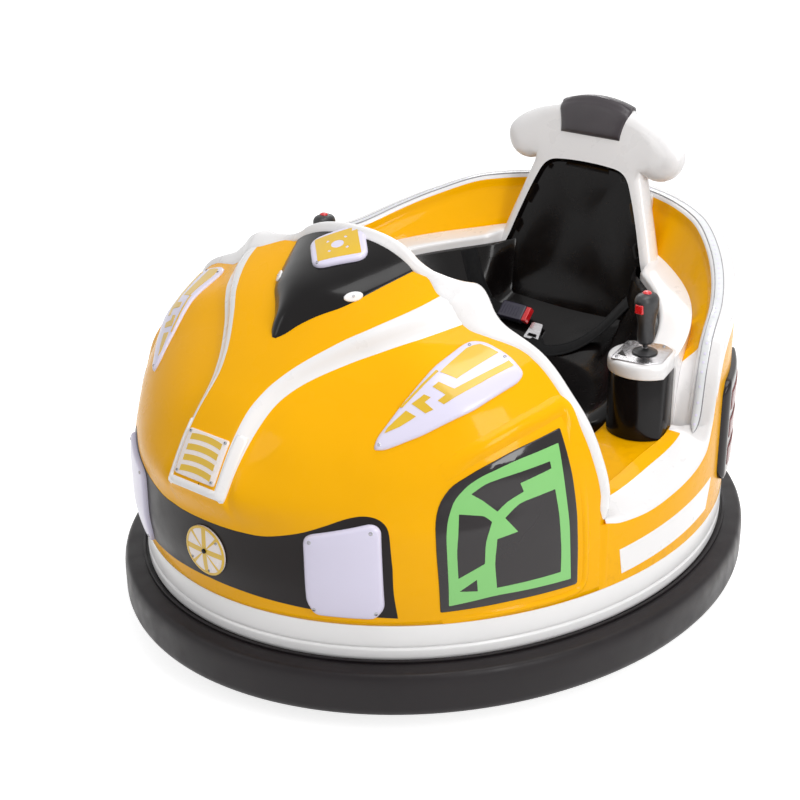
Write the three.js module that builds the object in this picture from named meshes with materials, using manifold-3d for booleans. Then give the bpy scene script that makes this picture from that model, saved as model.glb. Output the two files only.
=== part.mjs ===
// Bumper car: oval amusement-ride car with a wrap-around rubber bumper, a moulded hood with a raised
// spine and cowl, an open cockpit with twin joysticks, and two driven wheels between two casters.
// Millimetres, +Z up, front of the car along -Y, driver's left along +X, origin on the floor at the
// centre of the plan.
import * as THREE from 'three';
import { mergeVertices } from 'three/addons/utils/BufferGeometryUtils.js';
import Module from 'manifold-3d';

const wasm = await Module();
wasm.setup();

// ---- Driving dimensions -------------------------------------------------------------------------
const FIT = 0.3; // gap between pieces that touch
const PIN_GAP = 0.6; // gap at the end of a turning pin

// Body plan: an oval wall with the bumper standing out from it
const WALL_HALF_LENGTH = 651;
const WALL_HALF_WIDTH = 563;
const BUMPER_REACH = 49;
const BUMPER_DEPTH = 72;
const BUMPER_BOTTOM = 50;
const BUMPER_TOP = 139;

// Skirt and hood heights
const SKIRT_THICKNESS = 24;
const SKIRT_TOP = 210;
const HOOD_THICKNESS = 12;
const HOOD_BASE = SKIRT_TOP + FIT;

// Raised spine of the hood, from the nose back to the cockpit arch
const NOSE_REACH = 38; // how far the nose stands out from the wall oval
const NOSE_Y = -(WALL_HALF_LENGTH + NOSE_REACH);
const ARCH_TOP_Y = -250;
const ARCH_FOOT_Y = -195;
const NOSE_HALF_WIDTH = 57;
const NOSE_Z = 437;

// Cockpit
const SPLIT_GAP_DEGREES = 0.12;
const RIM_WIDTH = 50;
const INNER_WALL = 0.857; // inner foot of the cockpit wall, as a share of the wall oval
const EDGE_SHARE = 0.0007; // gap at those edges, as a share of the wall oval
const LEDGE_INNER = 0.745; // inner edge of the armrest ledge, as a share of the wall oval
const DECK_Z = 352;
const DECK_THICKNESS = 8;
const DECK_FRONT_Y = -150;
const SIDE_DECK_Z = 397; // raised deck under each joystick pod
const SIDE_DECK_INNER = 0.6;
const FLOOR_Z = BUMPER_TOP + 11;
const FLOOR_THICKNESS = 8;
const PAN_FRONT_Y = -60;
const PAN_THICKNESS = 24;
const PAN_SHARE = 0.56;
const LEDGE_FRONT_DEGREES = 105.1;
const BOLSTER_FRONT_DEGREES = 112;
const SILL_END_DEGREES = 104;

// Seat back
const BACK_FOOT_Y = WALL_HALF_LENGTH - 199;
const BACK_LEAN_DEGREES = 12;
const BACK_THICKNESS = 50;
const WEB_LOW = 560;
const WEB_HIGH = 712;
const PAD_PROUD = 9;

// Joystick pods
const POD_Y = 108;
const POD_RADIUS = 69;
const POD_FLAT = 16; // cut off the side that faces the wall
const POD_WALL_GAP = 4;
const POD_TOP = 548;

// Running gear
const DRIVE_WHEEL_RADIUS = 100;
const DRIVE_TYRE_WIDTH = 50;
const DRIVE_HUB_RADIUS = 58;
const DRIVE_WHEEL_X = WALL_HALF_WIDTH - 133;
const DRIVE_AXLE_Y = 60;
const MOTOR_RADIUS = 46;
const CASTER_RADIUS = 40;
const CASTER_WIDTH = 26;
const CASTER_TRAIL = 24;
const CASTER_FRONT_Y = 181 - WALL_HALF_LENGTH;
const CASTER_REAR_Y = WALL_HALF_LENGTH - 131;
const FRAME_TOP = FLOOR_Z - FLOOR_THICKNESS - FIT;
const FRAME_DEPTH = 28;
const BATTERY_PLAN = [340, 180];
const BATTERY_ROOM = 12; // between the batteries and the deck above them
const BATTERY_Y = 250;

const group = new THREE.Group();

// ---- Small maths --------------------------------------------------------------------------------
const rad = THREE.MathUtils.degToRad;

// Smooth curve through [position, value] pairs that never overshoots between two of them
function through(knots, at) {
  const last = knots.length - 1;
  if (at <= knots[0][0]) return knots[0][1];
  if (at >= knots[last][0]) return knots[last][1];
  const slopes = [];
  for (let i = 0; i < last; i += 1) {
    slopes.push((knots[i + 1][1] - knots[i][1]) / (knots[i + 1][0] - knots[i][0]));
  }
  const tangent = (i) => {
    if (i === 0) return slopes[0];
    if (i === last) return slopes[last - 1];
    const before = slopes[i - 1];
    const after = slopes[i];
    return before * after <= 0 ? 0 : (2 * before * after) / (before + after);
  };
  let i = 0;
  while (at > knots[i + 1][0]) i += 1;
  const span = knots[i + 1][0] - knots[i][0];
  const t = (at - knots[i][0]) / span;
  const a = knots[i][1];
  const b = knots[i + 1][1];
  return a * (1 + 2 * t) * (1 - t) ** 2 + b * t * t * (3 - 2 * t)
    + span * (tangent(i) * t * (1 - t) ** 2 - tangent(i + 1) * t * t * (1 - t));
}

const steps = (from, to, count) => Array.from({ length: count + 1 }, (_, i) => from + (to - from) * i / count);

// Point on the plan: share of the wall oval, degrees from the nose towards the driver's left
const plan = (share, degrees, z) => new THREE.Vector3(
  WALL_HALF_WIDTH * share * Math.sin(rad(degrees)),
  -WALL_HALF_LENGTH * share * Math.cos(rad(degrees)),
  z,
);

// Point a distance inside the wall oval (negative: outside)
const planInset = (inset, degrees, z) => new THREE.Vector3(
  (WALL_HALF_WIDTH - inset) * Math.sin(rad(degrees)),
  -(WALL_HALF_LENGTH - inset) * Math.cos(rad(degrees)),
  z,
);

// ---- Mesh helpers -------------------------------------------------------------------------------
function geometryOf(points, triangles) {
  const geometry = new THREE.BufferGeometry();
  const flat = points.flatMap((p) => [p.x, p.y, p.z]);
  geometry.setAttribute('position', new THREE.Float32BufferAttribute(flat, 3));
  geometry.setIndex(triangles.flat());
  return weld(geometry);
}

// Merges shared corners, drops collapsed triangles and turns the faces outwards
function weld(source) {
  const bare = source.clone();
  bare.deleteAttribute('normal');
  bare.deleteAttribute('uv');
  const merged = mergeVertices(bare, 1e-3);
  const position = merged.getAttribute('position');
  const index = Array.from(merged.getIndex().array);
  const kept = [];
  let volume = 0;
  const [a, b, c] = [new THREE.Vector3(), new THREE.Vector3(), new THREE.Vector3()];
  for (let i = 0; i < index.length; i += 3) {
    const [p, q, r] = [index[i], index[i + 1], index[i + 2]];
    if (p === q || q === r || r === p) continue;
    kept.push(p, q, r);
    a.fromBufferAttribute(position, p);
    b.fromBufferAttribute(position, q);
    c.fromBufferAttribute(position, r);
    volume += a.dot(b.cross(c)) / 6;
  }
  if (volume < 0) {
    for (let i = 0; i < kept.length; i += 3) [kept[i], kept[i + 1]] = [kept[i + 1], kept[i]];
  }
  merged.setIndex(kept);
  return merged;
}

function solidOf(geometry) {
  const clean = weld(geometry);
  const vertProperties = new Float32Array(clean.getAttribute('position').array);
  const triVerts = new Uint32Array(clean.getIndex().array);
  return new wasm.Manifold(new wasm.Mesh({ numProp: 3, vertProperties, triVerts }));
}

function geometryFrom(solid) {
  const mesh = solid.getMesh();
  const geometry = new THREE.BufferGeometry();
  const flat = [];
  for (let i = 0; i < mesh.vertProperties.length; i += mesh.numProp) {
    flat.push(mesh.vertProperties[i], mesh.vertProperties[i + 1], mesh.vertProperties[i + 2]);
  }
  geometry.setAttribute('position', new THREE.Float32BufferAttribute(flat, 3));
  geometry.setIndex(Array.from(mesh.triVerts));
  return geometry;
}

// Largest body of a solid
const largest = (solid) => solid.decompose().sort((a, b) => b.volume() - a.volume())[0];

const joined = (solids) => solids.reduce((sum, next) => sum.add(next));

// A solid swollen by the fitting gap along each axis, to cut its neighbours with
function swollen(solid) {
  const shifts = [[FIT, 0, 0], [-FIT, 0, 0], [0, FIT, 0], [0, -FIT, 0], [0, 0, FIT], [0, 0, -FIT]];
  return joined(shifts.map((shift) => solid.translate(shift)));
}

// Closed solid from rings of points that all have the same count; open ends are capped
function sweepRings(rings, closed) {
  const count = rings[0].length;
  const points = rings.flat();
  const triangles = [];
  const last = closed ? rings.length : rings.length - 1;
  for (let i = 0; i < last; i += 1) {
    const here = i * count;
    const next = ((i + 1) % rings.length) * count;
    for (let j = 0; j < count; j += 1) {
      const k = (j + 1) % count;
      triangles.push([here + j, next + j, next + k], [here + j, next + k, here + k]);
    }
  }
  if (!closed) {
    triangles.push(...capOf(rings[0]));
    const start = (rings.length - 1) * count;
    triangles.push(...capOf(rings[rings.length - 1]).map(([a, b, c]) => [start + c, start + b, start + a]));
  }
  return geometryOf(points, triangles);
}

// Triangles over one flat ring, wound so that they follow on from its swept sides
function capOf(ring) {
  const normal = new THREE.Vector3();
  for (let i = 0; i < ring.length; i += 1) normal.add(ring[i].clone().cross(ring[(i + 1) % ring.length]));
  normal.normalize();
  const across = ring[1].clone().sub(ring[0]).normalize();
  const up = normal.clone().cross(across);
  const flat = ring.map((p) => new THREE.Vector2(p.dot(across), p.dot(up)));
  return THREE.ShapeUtils.triangulateShape(flat, []);
}

// Closed surface patch: quads of a grid of points
function gridTriangles(grid, points, triangles) {
  const start = points.length;
  const width = grid[0].length;
  grid.forEach((row) => points.push(...row));
  for (let i = 0; i + 1 < grid.length; i += 1) {
    for (let j = 0; j + 1 < width; j += 1) {
      const a = start + i * width + j;
      const b = a + width;
      triangles.push([a, b, b + 1], [a, b + 1, a + 1]);
    }
  }
}

// Extruded outline, standing on z = from and reaching z = to
function prism(shape, from, to, curveSegments = 4) {
  const geometry = new THREE.ExtrudeGeometry(shape, { depth: to - from, bevelEnabled: false, curveSegments });
  return geometry.translate(0, 0, from);
}

function outline(points) {
  return new THREE.Shape(points.map(([x, y]) => new THREE.Vector2(x, y)));
}

function box(x0, x1, y0, y1, z0, z1) {
  const geometry = new THREE.BoxGeometry(x1 - x0, y1 - y0, z1 - z0);
  return geometry.translate((x0 + x1) / 2, (y0 + y1) / 2, (z0 + z1) / 2);
}

// Polygon with each corner rounded off by a quarter-turn curve; a corner's third value is its own radius
function roundedOutline(corners, radius) {
  const shape = new THREE.Shape();
  corners.forEach((corner, i) => {
    const at = new THREE.Vector2(corner[0], corner[1]);
    const before = new THREE.Vector2(...corners[(i + corners.length - 1) % corners.length].slice(0, 2));
    const after = new THREE.Vector2(...corners[(i + 1) % corners.length].slice(0, 2));
    const size = corner[2] ?? radius;
    const enter = at.clone().add(before.sub(at).setLength(size));
    const leave = at.clone().add(after.sub(at).setLength(size));
    if (i === 0) shape.moveTo(enter.x, enter.y);
    else shape.lineTo(enter.x, enter.y);
    shape.quadraticCurveTo(at.x, at.y, leave.x, leave.y);
  });
  return shape;
}

// Solid of revolution about X, from [radius, x] pairs
function turnedAboutX(profile, segments) {
  const points = profile.map(([radius, x]) => new THREE.Vector2(radius, x));
  return new THREE.LatheGeometry(points, segments).rotateZ(-Math.PI / 2);
}

function turnedAboutZ(profile, segments) {
  const points = profile.map(([radius, z]) => new THREE.Vector2(radius, z));
  return new THREE.LatheGeometry(points, segments).rotateX(Math.PI / 2);
}

function mirrored(geometry) {
  return geometry.clone().scale(-1, 1, 1);
}

const paint = {
  yellow: () => new THREE.MeshStandardMaterial({ color: 0xf5a400, roughness: 0.25, metalness: 0 }),
  white: () => new THREE.MeshStandardMaterial({ color: 0xf2f0ee, roughness: 0.3, metalness: 0 }),
  black: () => new THREE.MeshStandardMaterial({ color: 0x17171a, roughness: 0.2, metalness: 0 }),
  lens: () => new THREE.MeshStandardMaterial({ color: 0xe6e4f2, roughness: 0.3, metalness: 0 }),
  rubber: () => new THREE.MeshStandardMaterial({ color: 0x1c1a1c, roughness: 0.7, metalness: 0 }),
  steel: () => new THREE.MeshStandardMaterial({ color: 0x9fa2a6, roughness: 0.35, metalness: 1 }),
  red: () => new THREE.MeshStandardMaterial({ color: 0xd01818, roughness: 0.35, metalness: 0 }),
  grey: () => new THREE.MeshStandardMaterial({ color: 0x4a4d52, roughness: 0.5, metalness: 0.6 }),
};

function place(name, geometry, material) {
  const mesh = new THREE.Mesh(weld(geometry), material());
  mesh.name = name;
  group.add(mesh);
}

// Places a left piece and its mirror image on the right
function placePair(name, geometry, material) {
  place(`${name}_left`, geometry, material);
  place(`${name}_right`, mirrored(geometry), material);
}

// ---- Bumper and skirt ---------------------------------------------------------------------------
const FULL_TURN = steps(0, 360, 44).slice(0, -1);

function bumperRing() {
  const section = [
    [0, BUMPER_BOTTOM + 20], [0, BUMPER_TOP - 27], [8, BUMPER_TOP - 11], [22, BUMPER_TOP - 2], [34, BUMPER_TOP],
    [BUMPER_DEPTH, BUMPER_TOP], [BUMPER_DEPTH, BUMPER_BOTTOM], [16, BUMPER_BOTTOM], [5, BUMPER_BOTTOM + 5],
  ];
  return sweepRings(FULL_TURN.map((a) => section.map(([d, z]) => planInset(d - BUMPER_REACH, a, z))), true);
}

function baseSkirt() {
  const foot = BUMPER_TOP + FIT;
  const section = [
    [2, foot], [0, foot + 5], [0, foot + 20], [3.5, foot + 24], [0.5, foot + 29], [0, SKIRT_TOP],
    [SKIRT_THICKNESS, SKIRT_TOP], [SKIRT_THICKNESS, foot],
  ];
  return sweepRings(FULL_TURN.map((a) => section.map(([d, z]) => planInset(d, a, z))), true);
}

// ---- Hood surface -------------------------------------------------------------------------------
// Share of the wall oval against height, at three directions round the front of the car
const HOOD_PROFILES = [
  { degrees: 8, knots: [[210, 1], [300, 1.022], [370, 1.02], [428, 1.05], [490, 0.99], [540, 0.925],
    [590, 0.82], [640, 0.7]] },
  { degrees: 32, knots: [[210, 1], [300, 1.018], [370, 1.018], [430, 1.006], [490, 0.978], [540, 0.935],
    [590, 0.87], [640, 0.765], [672, 0.65]] },
  { degrees: 65, knots: [[210, 1], [300, 1], [370, 0.998], [430, 0.989], [490, 0.973], [540, 0.944],
    [590, 0.893], [635, 0.84], [675, 0.766], [700, 0.645]] },
];

function hoodShare(degrees, z) {
  const at = Math.max(Math.abs(degrees), HOOD_PROFILES[0].degrees);
  return HOOD_PROFILES.reduce((sum, profile, i) => {
    let weight = 1;
    HOOD_PROFILES.forEach((other, j) => {
      if (j !== i) weight *= (at - other.degrees) / (profile.degrees - other.degrees);
    });
    return sum + weight * through(profile.knots, z);
  }, 0);
}

// Height of the spine's foot, crest and middle, and half widths of foot and crest, by share of the
// way from the nose to the arch
const FOOT_HALF_WIDTH = [[0.021, 71], [0.203, 75], [0.294, 79], [0.385, 95], [0.567, 153], [0.658, 191],
  [0.841, 257], [1, 292]];
const FOOT_HEIGHT = [[0.021, 425], [0.112, 488], [0.203, 533], [0.294, 568], [0.385, 596], [0.567, 636],
  [0.749, 671], [1, 700]];
const CREST_HALF_WIDTH = [[0, NOSE_HALF_WIDTH], [0.203, 57], [0.294, 63], [0.385, 82], [0.567, 146],
  [0.658, 184], [0.841, 236], [1, 261]];
const CREST_HEIGHT = [[0, NOSE_Z], [0.112, 517], [0.203, 562], [0.294, 592], [0.476, 644], [0.658, 688],
  [0.841, 717], [1, 737]];
const CROWN = [[0, 0], [0.203, 2], [0.476, 5], [0.658, 10], [0.841, 18], [1, 27]];

const FOOT_START = 0.021;

const spineY = (u) => NOSE_Y + (ARCH_TOP_Y - NOSE_Y) * u;

function footPoint(u) {
  const at = Math.max(u, FOOT_START);
  return new THREE.Vector3(through(FOOT_HALF_WIDTH, at), spineY(at), through(FOOT_HEIGHT, at));
}

// Point on top of the spine, from its crest (side = 1) to the middle of the car (side = 0)
function spinePoint(u, side) {
  const z = through(CREST_HEIGHT, u) + through(CROWN, u) * (1 - side * side);
  return new THREE.Vector3(through(CREST_HALF_WIDTH, u) * side, spineY(u), z);
}

// Fore-and-aft place of the cockpit arch at a height
function archY(z) {
  return through([[400, ARCH_FOOT_Y], [700, ARCH_TOP_Y]], z);
}

// Direction at which the side of the hood meets the arch
function archDegrees(z) {
  let [low, high] = [40, 85];
  for (let i = 0; i < 24; i += 1) {
    const middle = (low + high) / 2;
    if (plan(hoodShare(middle, z), middle, z).y < archY(z)) low = middle;
    else high = middle;
  }
  return low;
}

const degreesOf = (p) => THREE.MathUtils.radToDeg(
  Math.atan2(p.x / WALL_HALF_WIDTH, -p.y / WALL_HALF_LENGTH),
);

// Heights of the rows of points up the side of the hood; rows above the spine's foot crowd below it
const SIDE_LEVELS = [HOOD_BASE, 255, 300, 345, 390, 428, 470, 512, 555, 598, 645, 700];
const ROW_CROWD = 2;

function rowHeight(u, row) {
  return Math.min(SIDE_LEVELS[row], footPoint(u).z - (SIDE_LEVELS.length - 1 - row) * ROW_CROWD);
}

// Side of the hood at a height: u runs from the nose to the arch
function sidePoint(u, z) {
  const top = footPoint(u);
  const t = (z - HOOD_BASE) / (top.z - HOOD_BASE);
  const nose = degreesOf(footPoint(0));
  const crowd = (degreesOf(top) - nose) / (degreesOf(footPoint(1)) - nose);
  const spread = u + (crowd - u) * t * t;
  const archHeight = HOOD_BASE + (footPoint(1).z - HOOD_BASE) * t;
  const archAt = archDegrees(archHeight) + (degreesOf(footPoint(1)) - archDegrees(footPoint(1).z)) * t ** 8;
  const degrees = nose + (archAt - nose) * spread;
  const point = plan(hoodShare(degrees, z), degrees, z);
  const slip = top.clone().sub(plan(hoodShare(degreesOf(top), top.z), degreesOf(top), top.z));
  return point.addScaledVector(slip, t ** 6);
}

// Open outer surface of the whole hood: two mirrored sides with the spine, and the nose between them
function hoodSurface(alongCount, spineCount) {
  const along = steps(0, 1, alongCount);
  const rows = SIDE_LEVELS.map((_, row) => row);
  const over = steps(1, 0, spineCount);
  const side = along.map((u) => [
    ...rows.map((row) => sidePoint(u, rowHeight(u, row))),
    ...over.map((s) => spinePoint(u, s)),
  ]);
  const noseCorner = degreesOf(footPoint(0));
  const noseTop = footPoint(0);
  const nose = [1, ...over.map((s) => s * 0.8)].map((share, column) => {
    const wall = rows.map((row) => {
      const z = rowHeight(0, row);
      const degrees = noseCorner * share;
      const slip = sidePoint(0, z).sub(plan(hoodShare(noseCorner, z), noseCorner, z));
      return plan(hoodShare(degrees, z), degrees, z).add(new THREE.Vector3(slip.x * share, slip.y, 0));
    });
    wall.push(column === 0 ? noseTop : spinePoint(0, over[column - 1]));
    return wall;
  });
  const points = [];
  const triangles = [];
  gridTriangles(side, points, triangles);
  gridTriangles(nose.reverse(), points, triangles);
  const count = points.length;
  points.push(...points.map((p) => new THREE.Vector3(-p.x, p.y, p.z)));
  triangles.push(...triangles.map(([a, b, c]) => [c + count, b + count, a + count]));
  return geometryOfOpen(points, triangles);
}

// Welded open surface as plain arrays
function geometryOfOpen(points, triangles) {
  const keys = new Map();
  const kept = [];
  const at = points.map((p) => {
    const key = [p.x, p.y, p.z].map((v) => Math.round(v * 500)).join();
    if (!keys.has(key)) {
      keys.set(key, kept.length);
      kept.push(p.clone());
    }
    return keys.get(key);
  });
  const faces = triangles.map((t) => t.map((i) => at[i])).filter(([a, b, c]) => a !== b && b !== c && c !== a);
  return { points: kept, faces };
}

function normalsOf({ points, faces }) {
  const normals = points.map(() => new THREE.Vector3());
  faces.forEach(([a, b, c]) => {
    const n = points[b].clone().sub(points[a]).cross(points[c].clone().sub(points[a]));
    [a, b, c].forEach((i) => normals[i].add(n));
  });
  return normals.map((n) => n.normalize());
}

function edgeLoop({ faces }) {
  const used = new Set(faces.flatMap(([a, b, c]) => [`${a},${b}`, `${b},${c}`, `${c},${a}`]));
  const edges = [];
  used.forEach((key) => {
    const [a, b] = key.split(',').map(Number);
    if (!used.has(`${b},${a}`)) edges.push([a, b]);
  });
  return edges;
}

// Copy of an open surface moved along its normals; its lower edge keeps its height and its arch its place
function offsetSurface(surface, distance) {
  const normals = normalsOf(surface);
  const points = surface.points.map((p, i) => {
    const n = normals[i].clone();
    if (Math.abs(p.z - HOOD_BASE) < 0.5) n.setZ(0).normalize();
    else if (p.y > archY(p.z) - 1.5) n.setY(0).normalize();
    return p.clone().addScaledVector(n, distance);
  });
  return { points, faces: surface.faces };
}

function shellBetween(outer, inner) {
  const count = outer.points.length;
  const triangles = [...outer.faces, ...inner.faces.map(([a, b, c]) => [c + count, b + count, a + count])];
  edgeLoop(outer).forEach(([a, b]) => triangles.push([b, a, a + count], [b, a + count, b + count]));
  return geometryOf([...outer.points, ...inner.points], triangles);
}

// Solid under the hood surface moved outwards by a distance
function hoodVolume(surface, distance) {
  const moved = offsetSurface(surface, distance);
  const middle = moved.points.length;
  const triangles = [...moved.faces];
  edgeLoop(moved).forEach(([a, b]) => triangles.push([b, a, middle]));
  return solidOf(geometryOf([...moved.points, new THREE.Vector3(0, -260, 330)], triangles));
}

const hood = hoodSurface(15, 2);
const hoodSkin = (from, to) => hoodVolume(hood, to).subtract(hoodVolume(hood, from));

// Outline standing on the hood at a place, following its surface from one height above it to another
function onHood(shape, centre, outward, lift, thickness, curveSegments = 4) {
  const geometry = prism(shape, -70, 60, curveSegments);
  const z = outward.clone().normalize();
  const x = new THREE.Vector3(0, 0, 1).cross(z).normalize();
  const y = z.clone().cross(x);
  geometry.applyMatrix4(new THREE.Matrix4().makeBasis(x, y, z).setPosition(centre));
  return geometryFrom(largest(solidOf(geometry).intersect(hoodSkin(lift, lift + thickness))));
}

// ---- Cockpit wall -------------------------------------------------------------------------------
const SPLIT_DEGREES = archDegrees(HOOD_BASE) + SPLIT_GAP_DEGREES;

// Height of the wall's rim, from the entry beside the hood round to the back of the car
const RIM_HEIGHT = [[SPLIT_DEGREES, 352], [76, 342], [82, 338], [90, 346], [97, 358], [102, 378],
  [104.5, 430], [106.5, 520], [109, 572], [113, 597], [118, 608], [126, 635], [135, 665], [148, 700],
  [165, 713], [180, 718]];
const LEDGE_HEIGHT = [[LEDGE_FRONT_DEGREES, 545], [130, 572], [145, 587], [160, 606], [180, 615]];

const SILL_INNER_HEIGHT = [[SPLIT_DEGREES, 354], [78, 364], [92, 394], [100, SIDE_DECK_Z], [103.3, 400],
  [106.5, 460]];

const fold = (degrees) => (degrees > 180 ? 360 - degrees : degrees);
const rimZ = (degrees) => through(RIM_HEIGHT, fold(degrees));
const ledgeZ = (degrees) => through(LEDGE_HEIGHT, fold(degrees));

// Height of the wall's inner top edge: the sill slopes up to the deck, the wall drops to the ledge
function innerWallZ(degrees) {
  const at = fold(degrees);
  return at < SILL_END_DEGREES ? through(SILL_INNER_HEIGHT, at) : Math.min(ledgeZ(at), rimZ(at) - 60);
}

const WALL_STATIONS = [
  ...steps(SPLIT_DEGREES, 98, 9), 100, 102, 103.3, 104.5, 105.5, 106.5, 107.7, 109, 111, 114, 118,
  ...steps(123, 180, 9),
];
const ROUND_STATIONS = [...WALL_STATIONS, ...WALL_STATIONS.slice(0, -1).reverse().map((a) => 360 - a)];

// The wall's stations from one direction round the back to its mirror image
const stationsFrom = (start) => [start, ...ROUND_STATIONS.filter((a) => fold(a) > start + 0.2), 360 - start];

function rearShell() {
  return sweepRings(ROUND_STATIONS.map((a) => {
    const top = rimZ(a);
    const innerTop = innerWallZ(a);
    const isSill = fold(a) < SILL_END_DEGREES;
    const bench = (d) => top + (innerTop - top) * d / (WALL_HALF_WIDTH * (1 - INNER_WALL));
    const crown = isSill
      ? [[10, bench(10)], [RIM_WIDTH - 8, bench(RIM_WIDTH - 8)], [RIM_WIDTH - 2, bench(RIM_WIDTH - 2)],
        [RIM_WIDTH, bench(RIM_WIDTH)]]
      : [[10, top], [RIM_WIDTH - 8, top], [RIM_WIDTH - 2, top - 5], [RIM_WIDTH, top - 14]];
    const section = [[0, HOOD_BASE], [0, top - 16], [3, top - 6], ...crown].map(([d, z]) => planInset(d, a, z));
    return [...section, plan(INNER_WALL, a, innerTop), plan(INNER_WALL, a, HOOD_BASE)];
  }), false);
}

// Clear light strip let into the middle of the rim
const STRIP_INSET = 20;
const STRIP_WIDTH = 14;
const STRIP_HEIGHT = 4;
const STRIP_LIFT = 0.9;
const STRIP_START_DEGREES = 103.3;

function rimLightStrip() {
  const angles = ROUND_STATIONS.filter((a) => fold(a) >= STRIP_START_DEGREES);
  return sweepRings(angles.map((a) => {
    const before = rimZ(a - 0.5);
    const after = rimZ(a + 0.5);
    const middle = planInset(STRIP_INSET, a, 0);
    const run = planInset(STRIP_INSET, a + 0.5, after).sub(planInset(STRIP_INSET, a - 0.5, before)).normalize();
    const across = planInset(STRIP_INSET + 1, a, 0).sub(middle).normalize();
    const up = across.clone().cross(run).normalize();
    if (up.z < 0) up.negate();
    const base = planInset(STRIP_INSET, a, rimZ(a));
    return [[0, STRIP_LIFT], [0, STRIP_HEIGHT - 1], [2, STRIP_HEIGHT], [STRIP_WIDTH - 2, STRIP_HEIGHT],
      [STRIP_WIDTH, STRIP_HEIGHT - 1], [STRIP_WIDTH, STRIP_LIFT]]
      .map(([w, h]) => base.clone().addScaledVector(across, w).addScaledVector(up, h));
  }), false);
}

// ---- Cowl on the spine --------------------------------------------------------------------------
const COWL_TIP = 0.492; // shares of the way from the nose to the arch, as for the spine
const COWL_HALF_WIDTH = [[COWL_TIP, 4], [0.517, 16], [0.567, 30], [0.62, 50], [0.704, 86], [0.845, 118],
  [1, 148]];
const COWL_CREST = [[COWL_TIP, 655], [0.533, 686], [0.59, 712], [0.658, 735], [0.772, 758], [0.886, 777],
  [1, 796]];
const COWL_BOTTOM = 560;
const COWL_LAMP_AT = 0.891;

const cowlEdgeZ = (u) => through(CREST_HEIGHT, u) + 0.6 * through(CROWN, u);

// Point on the cowl: v runs from the tip back to the arch, s across from -1 to 1
function cowlPoint(v, s) {
  const u = COWL_TIP + (1 - COWL_TIP) * v;
  const edge = cowlEdgeZ(u) + 3;
  const bulge = (1 - Math.abs(s) ** 2.2) ** 0.8;
  const z = edge + (Math.max(through(COWL_CREST, u), edge) - edge) * bulge;
  return new THREE.Vector3(through(COWL_HALF_WIDTH, u) * s, spineY(u), z);
}

function cowlVolume(lift) {
  const across = steps(-1, 1, 10);
  const rings = steps(0, 1, 10).map((v) => {
    const top = across.map((s) => cowlPoint(v, s).add(new THREE.Vector3(0, 0, lift)));
    const foot = [top[top.length - 1].clone().setZ(COWL_BOTTOM), top[0].clone().setZ(COWL_BOTTOM)];
    return [...top, ...foot];
  });
  return solidOf(sweepRings(rings, false));
}

const cowlBody = largest(cowlVolume(0).subtract(hoodVolume(hood, 0.5)));

// ---- Rolled lip along the back edge of the hood -------------------------------------------------
const LIP_DEPTH = 27;
const LIP_OUT = 9;
const LIP_IN = 14;
const ARCH_GAP = 0.5;
const LIP_FOOT_Z = 356;

// Back edge of the hood from the sill up the side, over the spine's corner and the cowl to the middle
function archEdge() {
  const side = [LIP_FOOT_Z, 400, 436, 480, 520, 560, 600, 640, 670, 690].map((z) => sidePoint(1, z));
  const spine = [0.98, 0.82, 0.68].map((share) => spinePoint(1, share));
  const cowl = [0.92, 0.72, 0.48, 0.24, 0].map((share) => cowlPoint(1, share));
  return [...side, footPoint(1), ...spine, ...cowl].map((p) => new THREE.Vector3(p.x, 0, p.z));
}

const frontHood = shellBetween(hood, offsetSurface(hood, -HOOD_THICKNESS));

function hoodRim() {
  const half = new THREE.CatmullRomCurve3(archEdge(), false, 'centripetal').getPoints(30);
  const path = [...half, ...half.slice(0, -1).reverse().map((p) => new THREE.Vector3(-p.x, 0, p.z))];
  const section = [[-LIP_IN, 0], [LIP_OUT - 4, 0], [LIP_OUT, 4], [LIP_OUT, LIP_DEPTH - 6],
    [LIP_OUT - 5, LIP_DEPTH], [-LIP_IN, LIP_DEPTH]];
  const lip = sweepRings(path.map((p, i) => {
    const run = path[Math.min(i + 1, path.length - 1)].clone().sub(path[Math.max(i - 1, 0)]).normalize();
    const out = new THREE.Vector3(run.z, 0, -run.x);
    if (i === 0 || i === path.length - 1) out.set(i === 0 ? 1 : -1, 0, 0);
    const y = archY(p.z) + ARCH_GAP;
    return section.map(([w, d]) => p.clone().addScaledVector(out, w).setY(y + d));
  }), false);
  return geometryFrom(largest(solidOf(lip).subtract(swollen(solidOf(frontHood)))));
}

// ---- Plates, lamps and windows on the hood ------------------------------------------------------
const PLATE_LIFT = 0.5;

const onSide = (degrees, z) => plan(hoodShare(degrees, z), degrees, z);

// Lamp outlines are drawn looking at the lamp from outside: first value to the viewer's right, second up
function headlight() {
  const shape = roundedOutline([[-65, -82], [-66, 58], [64, 92], [66, -92]], 14);
  const degrees = 26.9;
  const centre = onSide(degrees, 322);
  const outward = new THREE.Vector3(centre.x / WALL_HALF_WIDTH ** 2, centre.y / WALL_HALF_LENGTH ** 2, 0);
  return onHood(shape, centre, outward, PLATE_LIFT, 9);
}

function roundFrontLamp() {
  const shape = new THREE.Shape().absarc(0, 0, 48, 0, 2 * Math.PI);
  return onHood(shape, onSide(0, 306), new THREE.Vector3(0, -1, 0), PLATE_LIFT, 5, 12);
}

function frontLightPlate() {
  const shape = roundedOutline([[-49, -42], [-49, 42], [49, 42], [49, -42]], 6);
  const outward = new THREE.Vector3(0, -0.83, 0.56);
  return onHood(shape, spinePoint(0.067, 0), outward, PLATE_LIFT, 4);
}

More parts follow.
